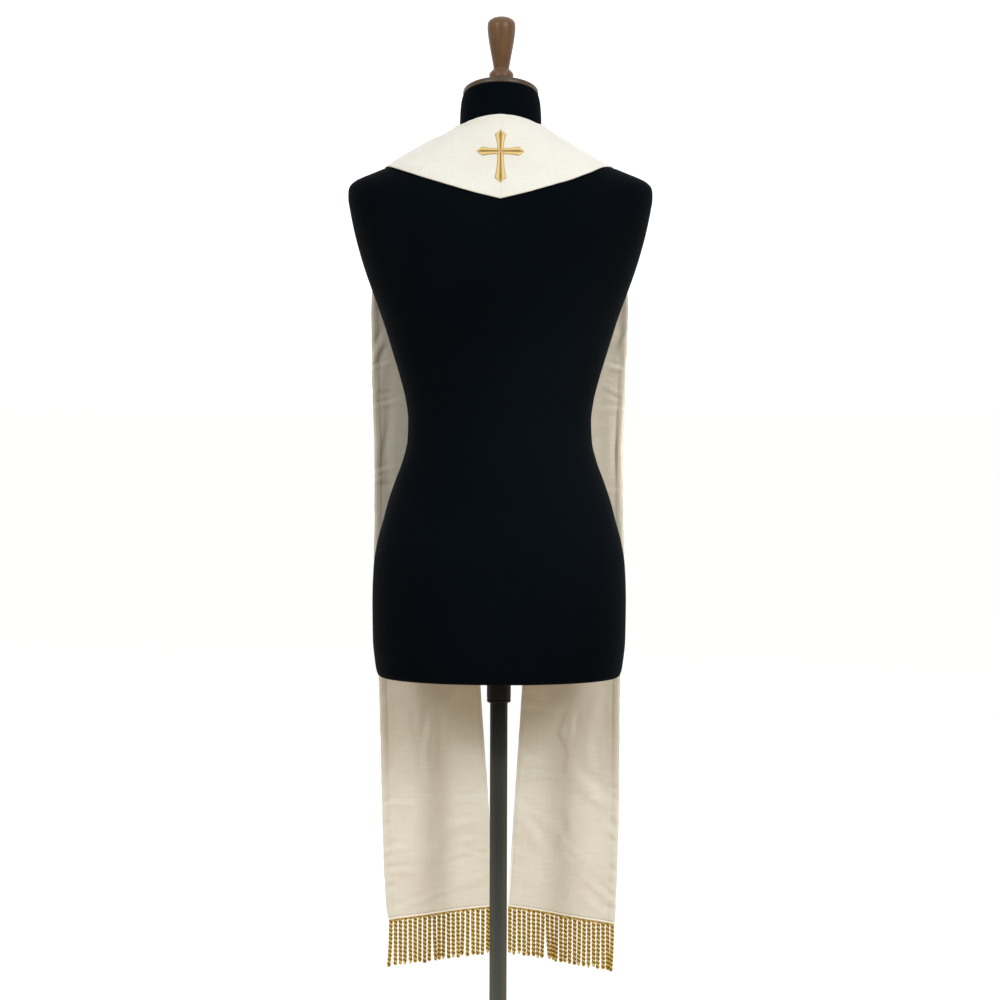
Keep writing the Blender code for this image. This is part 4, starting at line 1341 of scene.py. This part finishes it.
def flat_pattern(points, across, stops):
    """The map of a half as it was cut: the yoke laid out flat, the band straight above it."""
    inner, outer = points[:, 0], points[:, -1]
    flat_inner = [np.zeros(2)]
    flat_outer = [np.array([0.0, -np.linalg.norm(outer[0] - inner[0])])]
    for row in range(1, len(stops)):
        near = third_corner(flat_inner[-1], flat_outer[-1],
                            np.linalg.norm(inner[row] - inner[row - 1]),
                            np.linalg.norm(inner[row] - outer[row - 1]))
        far = third_corner(near, flat_outer[-1],
                           np.linalg.norm(outer[row] - inner[row]),
                           np.linalg.norm(outer[row] - outer[row - 1]))
        flat_inner.append(near)
        flat_outer.append(far)
    shares = (across / across[:, -1:])[:, :, None]
    laid = np.array(flat_inner)[:, None] * (1 - shares) + np.array(flat_outer)[:, None] * shares
    along = np.array(stops)[:, None] * MM + np.zeros_like(across)
    straight = np.stack((across, along), axis=2)
    joint = min(range(len(stops)), key=lambda row: abs(stops[row] - STRAIGHT_AT))
    straight += (laid[joint] - straight[joint]).mean(axis=0)
    share = smooth_step((np.array(stops) - STRAIGHT_AT) / STRAIGHT_REACH + 0.5)[:, None, None]
    return laid * (1 - share) + straight * share


def third_corner(first, second, from_first, from_second):
    """The corner of a flat triangle, on the right of the way from second to first."""
    base = second - first
    length = np.linalg.norm(base)
    down = (from_first ** 2 - from_second ** 2 + length ** 2) / (2 * length)
    aside = math.sqrt(max(from_first ** 2 - down ** 2, 0.0))
    unit = base / length
    return first + unit * down + np.array([-unit[1], unit[0]]) * aside


class HalfGrid:
    """The inner face of one half's cloth as a grid, with its map and its normals."""

    def __init__(self, side, form_tree):
        self.side = side
        self.stops = stole_stops()
        rows = []
        across_rows = []
        lifts = []
        for along in self.stops:
            inner, outer, row = band_edges(side, along)
            width = (outer - inner).length
            columns = stole_columns(width)
            points = []
            lift = []
            for across in columns:
                place = (across + edge_wander(side, along, across, width)) / width
                clearance = clearance_at(side, along, place)
                point = stole_point(side, along, place)
                points.append(laid_on(form_tree, point, clearance, row.cling))
                lift.append(crease_offset(side, along, across, width))
            rows.append(points)
            lifts.append(lift)
            across_rows.append(columns)
        base = smoothed(np.array([[tuple(p) for p in row] for row in rows]), 3)
        lifts = np.array(lifts)
        hold = np.array([
            eased(min((LENGTH - along) / CREASE_END, 1.0)) * (1 - CREASE_END_SHARE)
            + CREASE_END_SHARE for along in self.stops
        ])
        calm = np.array([eased(along / CREASE_START) for along in self.stops])
        lifts *= (hold * calm)[:, None]
        normals = grid_normals(base, side)
        base = base + normals * (lifts * MM)[:, :, None]
        self.points = self.off_the_form(base, form_tree)
        self.points[0, :, 0] = SEAM_HALF_GAP if side == "left" else -SEAM_HALF_GAP
        self.normals = grid_normals(self.points, side)
        self.across = np.array(across_rows)
        self.maps = flat_pattern(self.points, self.across * MM, self.stops)

    def off_the_form(self, points, form_tree):
        """Lift what the creases pressed too near the form."""
        for row, along in zip(points, self.stops):
            lined = eased((along - LINED_FROM) / LINING_EASE + 1)
            least = (LEAST_GAP + LINED_GAP * lined) * MM
            for column in range(len(row)):
                point = Vector(row[column])
                spot, normal, _, distance = form_tree.find_nearest(point)
                if distance < NEAR_FORM and (point - spot).dot(normal) < least:
                    row[column] = spot + normal * least
        return points


def shell(name, outer, inner, maps, side, painted_light_levels=None):
    """A closed sheet from its two faces, its rim rounded."""
    rows, columns = outer.shape[:2]
    count = rows * columns
    points = [*outer.reshape(-1, 3), *inner.reshape(-1, 3)]
    uvs = [*maps.reshape(-1, 2), *maps.reshape(-1, 2)]
    # Painted light levels, when given, go on the inner face only.
    heights = None if painted_light_levels is None else [*np.zeros(count), *painted_light_levels.reshape(-1)]
    faces = []
    flip = side != "left"

    def add(corners):
        faces.append(corners[::-1] if flip else corners)

    for row in range(rows - 1):
        for column in range(columns - 1):
            a = row * columns + column
            b, c, d = a + 1, a + columns + 1, a + columns
            add((a, d, c, b))
            add((a + count, b + count, c + count, d + count))
    rim = [(0, column) for column in range(columns)]
    rim += [(row, columns - 1) for row in range(1, rows)]
    rim += [(rows - 1, column) for column in range(columns - 2, -1, -1)]
    rim += [(row, 0) for row in range(rows - 2, 0, -1)]
    middle = (outer + inner) / 2
    following = len(points)
    for row, column in rim:
        inward_row = min(max(row, 1), rows - 2)
        inward_column = min(max(column, 1), columns - 2)
        away = middle[row, column] - middle[inward_row, inward_column]
        away /= np.linalg.norm(away)
        wall = np.linalg.norm(outer[row, column] - inner[row, column])
        points.append(middle[row, column] + away * wall * 0.36)
        uvs.append(maps[row, column])
        if painted_light_levels is not None:
            heights.append(painted_light_levels[row, column])
    for index in range(len(rim)):
        after = (index + 1) % len(rim)
        near = rim[index][0] * columns + rim[index][1]
        far = rim[after][0] * columns + rim[after][1]
        add((near, far, following + after, following + index))
        add((following + index, following + after, far + count, near + count))
    return mesh_of(name, points, faces, uvs, heights)


def make_face_sheet(side, half, material):
    """The ivory face of one half, its sides and hem turned under."""
    across = half.across
    width = across[:, -1:]
    hem = LENGTH - np.array(half.stops)[:, None]
    within = np.minimum(np.minimum(across - TURNED_EDGE["inner"], hem - TURNED_EDGE["hem"]),
                        width - across - TURNED_EDGE["outer"])
    turned_under = 1 - smooth_step(within / TURN_STEP + 0.5)
    rim = np.minimum(np.minimum(across, width - across), hem)
    plump = np.clip(rim / RIM_REACH, 0.0, 1.0) ** 0.5
    lined = np.array([eased((stop - LINING_FROM) / 8 + 1) for stop in half.stops])[:, None]
    inward = (TURN_THICKNESS * turned_under * lined + PLAIN_THICKNESS) * plump
    outward = (FACE_WALL / MM) * (RIM_SHARE + (1 - RIM_SHARE) * plump)
    outer = half.points + half.normals * (outward * MM)[:, :, None]
    inner = half.points - half.normals * (inward * MM)[:, :, None]
    # Painted highlight on the turned inner edge and hem, fading out above the hem; the sheet
    # carries it as its painted light level.
    highlight_from = np.minimum(across - TURNED_EDGE["inner"], hem - TURNED_EDGE["hem"])
    painted_highlight = 1 - smooth_step(highlight_from / TURN_STEP + 0.5)
    painted_highlight = painted_highlight * smooth_step(1 - (hem - HIGHLIGHT_HEIGHT) / HIGHLIGHT_FADE)
    name = f"stole_{side}_face"
    return new_piece(name, shell(name, outer, inner, half.maps, side, painted_highlight), material)


def make_lining_sheet(side, half, material):
    """The lining of one band, sewn inside the turned edges, over the face cloth's allowance."""
    keep = [index for index, stop in enumerate(half.stops)
            if LINING_FROM <= stop <= LENGTH - LINING_INSET + 0.01]
    first = INNER_COLUMNS.index(TURNED_EDGE["inner"])
    last = -OUTER_COLUMNS.index(TURNED_EDGE["outer"])
    points = half.points[keep][:, first:last]
    normals = half.normals[keep][:, first:last]
    maps = half.maps[keep][:, first:last]
    across = half.across[keep][:, first:last]
    width = half.across[keep][:, -1:]
    stops = np.array([half.stops[index] for index in keep])[:, None]
    outer_edge = width - across
    ridge = smooth_step((SEAM_ALLOWANCE - outer_edge) / 1.0 + 0.5)
    ridge += INNER_ALLOWANCE_SHARE * smooth_step((SEAM_ALLOWANCE - across) / 1.0 + 0.5)
    share = SINK_SHARE
    for sink in SINKS:
        share = share + sink.share * np.exp(-((stops - sink.along) / sink.reach) ** 2)
    sunk = np.exp(-((outer_edge - SEAM_ALLOWANCE - SINK_FROM_ALLOWANCE) / SINK_WIDTH) ** 2)
    sunk *= share
    rim = np.minimum(across - TURNED_EDGE["inner"], outer_edge - TURNED_EDGE["outer"])
    edge_down = np.clip(rim / LINING_RIM, 0.0, 1.0) ** 0.5
    outer = points - normals * LINING_GAP
    wall = LINING_WALL * (0.35 + 0.65 * edge_down)
    wall = wall + MM * (ALLOWANCE_RISE * ridge * edge_down - SINK_DEPTH * sunk)
    inner = outer - normals * np.maximum(wall, THINNEST_LINING)[:, :, None]
    name = f"lining_{side}_sheet"
    return new_piece(name, shell(name, outer, inner, maps, side), material)


def smooth_step(values):
    values = np.clip(values, 0.0, 1.0)
    return values * values * (3 - 2 * values)


# ------------------------------------------------------------------ fringe

def hem_point(half, place):
    """A point on the hem's lower edge, in the middle of the face cloth."""
    hem = half.points[-1] + half.normals[-1] * FACE_WALL * 0.4
    lengths = half.across[-1]
    along = place * lengths[-1]
    index = int(min(max(np.searchsorted(lengths, along) - 1, 0), len(lengths) - 2))
    share = (along - lengths[index]) / (lengths[index + 1] - lengths[index])
    return Vector(hem[index] * (1 - share) + hem[index + 1] * share)


def strand_path(root, lean, length, phase):
    """One ply's way down the strand, round its end and back up, as points."""
    turns = length / STRAND_PITCH
    steps = int(turns * STRAND_STEPS)
    down = []
    for step in range(steps + 1):
        t = step / steps
        axis = root + Vector((lean[0] * t ** 2.2, lean[1] * t ** 1.6, -length * t))
        turn = phase + math.tau * turns * t
        down.append((axis, turn))
    radius = STRAND_TWIST
    path = [axis + Vector((math.cos(turn), math.sin(turn), 0.0)) * radius for axis, turn in down]
    end, turn = down[-1]
    side = Vector((math.cos(turn), math.sin(turn), 0.0))
    for step in range(1, END_STEPS):
        swing = math.pi * step / END_STEPS
        drop = Vector((0.0, 0.0, -END_DROP * radius * math.sin(swing)))
        path.append(end + side * radius * math.cos(swing) + drop)
    path += [axis - Vector((math.cos(turn), math.sin(turn), 0.0)) * radius
             for axis, turn in reversed(down)]
    middle = [axis for axis, _ in down]
    return path, middle + [end] * (END_STEPS - 1) + middle[::-1]


def add_tube(points, faces, uvs, painted_light_levels, path, axis, radius, sides):
    """A tube round a path, closed at both ends, its frame carried along without twist. The
    painted light level of each point is how far out of the strand's axis it stands, from 0 to 1."""
    path = np.array([tuple(point) for point in path])
    axis = np.array([tuple(point) for point in axis])
    tangents = np.gradient(path, axis=0)
    tangents /= np.linalg.norm(tangents, axis=1, keepdims=True)
    aside = np.cross(tangents[0], (0.0, 1.0, 0.0))
    aside /= np.linalg.norm(aside)
    angles = np.arange(sides) * math.tau / sides
    start = len(points)
    run = 0.0
    for index, (spot, tangent) in enumerate(zip(path, tangents)):
        aside = aside - tangent * np.dot(aside, tangent)
        aside /= np.linalg.norm(aside)
        over = np.cross(tangent, aside)
        if index:
            run += np.linalg.norm(spot - path[index - 1])
        for angle in angles:
            point = spot + (aside * math.cos(angle) + over * math.sin(angle)) * radius
            points.append(point)
            uvs.append((angle / math.tau, run))
            painted_light_levels.append(np.linalg.norm(point - axis[index]) / (radius + STRAND_TWIST))
    rings = len(path)
    for ring in range(rings - 1):
        low, high = start + ring * sides, start + (ring + 1) * sides
        for side in range(sides):
            after = (side + 1) % sides
            faces.append((low + side, low + after, high + after, high + side))
    faces.append(tuple(start + side for side in reversed(range(sides))))
    faces.append(tuple(start + (rings - 1) * sides + side for side in range(sides)))


def make_fringe(side, half, material):
    """Twisted bullion strands under a narrow heading."""
    points, faces, uvs, painted_light_levels = [], [], [], []
    chance = Random(FRINGE_SEEDS[side])
    hand = 1 if side == "left" else -1
    count = STRANDS[side]
    leans = {lean.strand: lean for lean in LEANS if lean.side == side}
    for strand in range(count):
        place = (strand + 0.5) / count
        root = hem_point(half, place) - Vector((0.0, 0.0, HEADING_DROP + 0.4 * MM))
        lean = leans.get(strand)
        outwards = chance.uniform(-STRAND_STRAY[0], STRAND_STRAY[0])
        outwards += lean.outwards if lean else 0.0
        forwards = chance.uniform(-STRAND_STRAY[1], STRAND_STRAY[1])
        forwards += lean.forwards if lean else 0.0
        length = (STRAND_LENGTH + chance.uniform(-STRAND_UNEVEN, STRAND_UNEVEN)) * MM
        phase = chance.uniform(-STRAND_PHASE, STRAND_PHASE) + strand * PHASE_STEP
        path, axis = strand_path(root, (hand * outwards * MM, -forwards * MM), length, phase)
        add_tube(points, faces, uvs, painted_light_levels, path, axis, STRAND_PLY, PLY_SIDES)
    for layer in range(2):
        drop = HEADING_DROP + HEADING_HEIGHT * (layer + 0.5) / 2
        path = []
        for step in range(HEADING_STEPS + 1):
            place = HEADING_INSET + (1 - 2 * HEADING_INSET) * step / HEADING_STEPS
            path.append(hem_point(half, place) - Vector((0.0, 0.0, drop)))
        first = len(painted_light_levels)
        add_tube(points, faces, uvs, painted_light_levels, path, path, HEADING_HEIGHT / 3.2, PLY_SIDES)
        # The heading gets a fixed painted light level with a small ripple along it.
        painted_light_levels[first:] = [0.86 + 0.1 * math.sin(7.0 * (index // PLY_SIDES))
                          for index in range(len(painted_light_levels) - first)]
    name = f"bullion_fringe_{side}"
    fringe = new_piece(name, mesh_of(name, points, faces, uvs, painted_light_levels), material)
    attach(fringe, "root")
    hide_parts(f"fringe_{side}")
    return fringe


# ------------------------------------------------------------------ cross

def arm_half_width(arm, distance):
    """Half the arm's width at a distance from the crossing, in millimetres."""
    if distance < ARM_ROOT:
        return distance
    if distance < arm.shoulder:
        t = (distance - ARM_ROOT) / (arm.shoulder - ARM_ROOT)
        return ARM_ROOT + (arm.half_width - ARM_ROOT) * t ** 2
    t = (distance - arm.shoulder) / (arm.length - arm.shoulder)
    return arm.half_width * (1 - t)


def on_yoke(trees, across, up):
    """A point of the yoke's outer side and its normal, millimetres across and up."""
    x = math.copysign(max(abs(across) * MM, SEAM_KEEP), across)
    start = Vector((x, 0.3, CROSS_HEIGHT_ON_BACK + up * MM * math.cos(YOKE_SLOPE)))
    for tree in trees:
        spot, normal, _, _ = tree.ray_cast(start, Vector((0.0, -1.0, 0.0)))
        if spot is not None and spot.y > 0:
            return Vector((across * MM, spot.y, spot.z)), normal
    raise ValueError("the cross lies past the edge of the yoke")


def lobe_width(arm, distance, q):
    """How far from the arm's groove the share q of a lobe lies, and the lobe's width."""
    half_width = max(arm_half_width(arm, distance), ARM_TIP)
    return LOBE_GROOVE + (half_width - LOBE_GROOVE) * q, half_width


def stitched_lobe(trees, arm, lobe, points, faces, uvs):
    """One lobe of an arm: its stitches, their back on the yoke, and the wall between them."""
    turn = math.radians(arm.angle)
    out = (math.cos(turn), math.sin(turn))
    aside = (-out[1] * lobe, out[0] * lobe)
    rows = int(arm.length / (STITCH / 4))
    across = LOBE_COLUMNS + 1
    start = len(points)
    backs = []
    for row in range(rows + 1):
        distance = ARM_START + (arm.length - 2 * ARM_START) * row / rows
        for column in range(across):
            q = column / LOBE_COLUMNS
            width, half_width = lobe_width(arm, distance, q)
            spot, normal = on_yoke(
                trees,
                out[0] * distance + aside[0] * width,
                out[1] * distance + aside[1] * width,
            )
            slant = (distance - STITCH_SLANT * width) / STITCH
            ridge = STITCH_RISE * math.cos(math.tau * slant)
            crown = math.sin(math.pi * (0.06 + 0.90 * q)) ** 0.55
            narrow = min(half_width / 2.4, 1.0)
            rise = LOBE_RISE * crown * narrow + ridge * crown + 0.06
            points.append(spot + normal * rise * MM)
            backs.append(spot + normal * STITCHES_UNDER * MM)
            uvs.append((q, distance * MM))
    under = len(backs)
    points += backs
    uvs += uvs[start:]

    def add(corners):
        faces.append(corners if lobe < 0 else corners[::-1])

    for row in range(rows):
        for column in range(LOBE_COLUMNS):
            a = start + row * across + column
            top = (a, a + across, a + across + 1, a + 1)
            add(top)
            add(tuple(corner + under for corner in reversed(top)))
    rim = [start + column for column in range(across)]
    rim += [start + row * across + across - 1 for row in range(1, rows + 1)]
    rim += [start + rows * across + column for column in range(across - 2, -1, -1)]
    rim += [start + row * across for row in range(rows - 1, 0, -1)]
    for index, near in enumerate(rim):
        far = rim[(index + 1) % len(rim)]
        add((near, far, far + under, near + under))


def make_cross(halves, material):
    """Four mitred arms in satin stitch, each with two lobes beside a groove."""
    graph = bpy.context.evaluated_depsgraph_get()
    trees = [BVHTree.FromObject(half, graph) for half in halves]
    points, faces, uvs = [], [], []
    for arm in ARMS:
        for lobe in (-1, 1):
            stitched_lobe(trees, arm, lobe, points, faces, uvs)
    name = "satin_cross"
    cross = new_piece(name, mesh_of(name, points, faces, uvs), material)
    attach(cross, "root")
    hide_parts("embroidered_cross")
    return cross


# ------------------------------------------------------------------ whole object

make_camera()
make_studio()
form = make_form(black_jersey())
make_neck_cap()
make_finial()
make_stand()
bpy.context.view_layer.update()
form_tree = BVHTree.FromObject(form, bpy.context.evaluated_depsgraph_get())
ivory, beige, gold = ivory_weave(), beige_lining(), bullion_thread()
faces_made = []
for side in SIDES:
    half = HalfGrid(side, form_tree)
    face = make_face_sheet(side, half, ivory)
    lining = make_lining_sheet(side, half, beige)
    make_fringe(side, half, gold)
    for piece, node, slot in ((face, f"stole_{side}", "stole_cloth"),
                              (lining, f"lining_{side}", "lining_cloth")):
        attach(piece, "root")
        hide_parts(node)
    faces_made.append(face)
bpy.context.view_layer.update()
cross = make_cross(faces_made, satin_stitch())
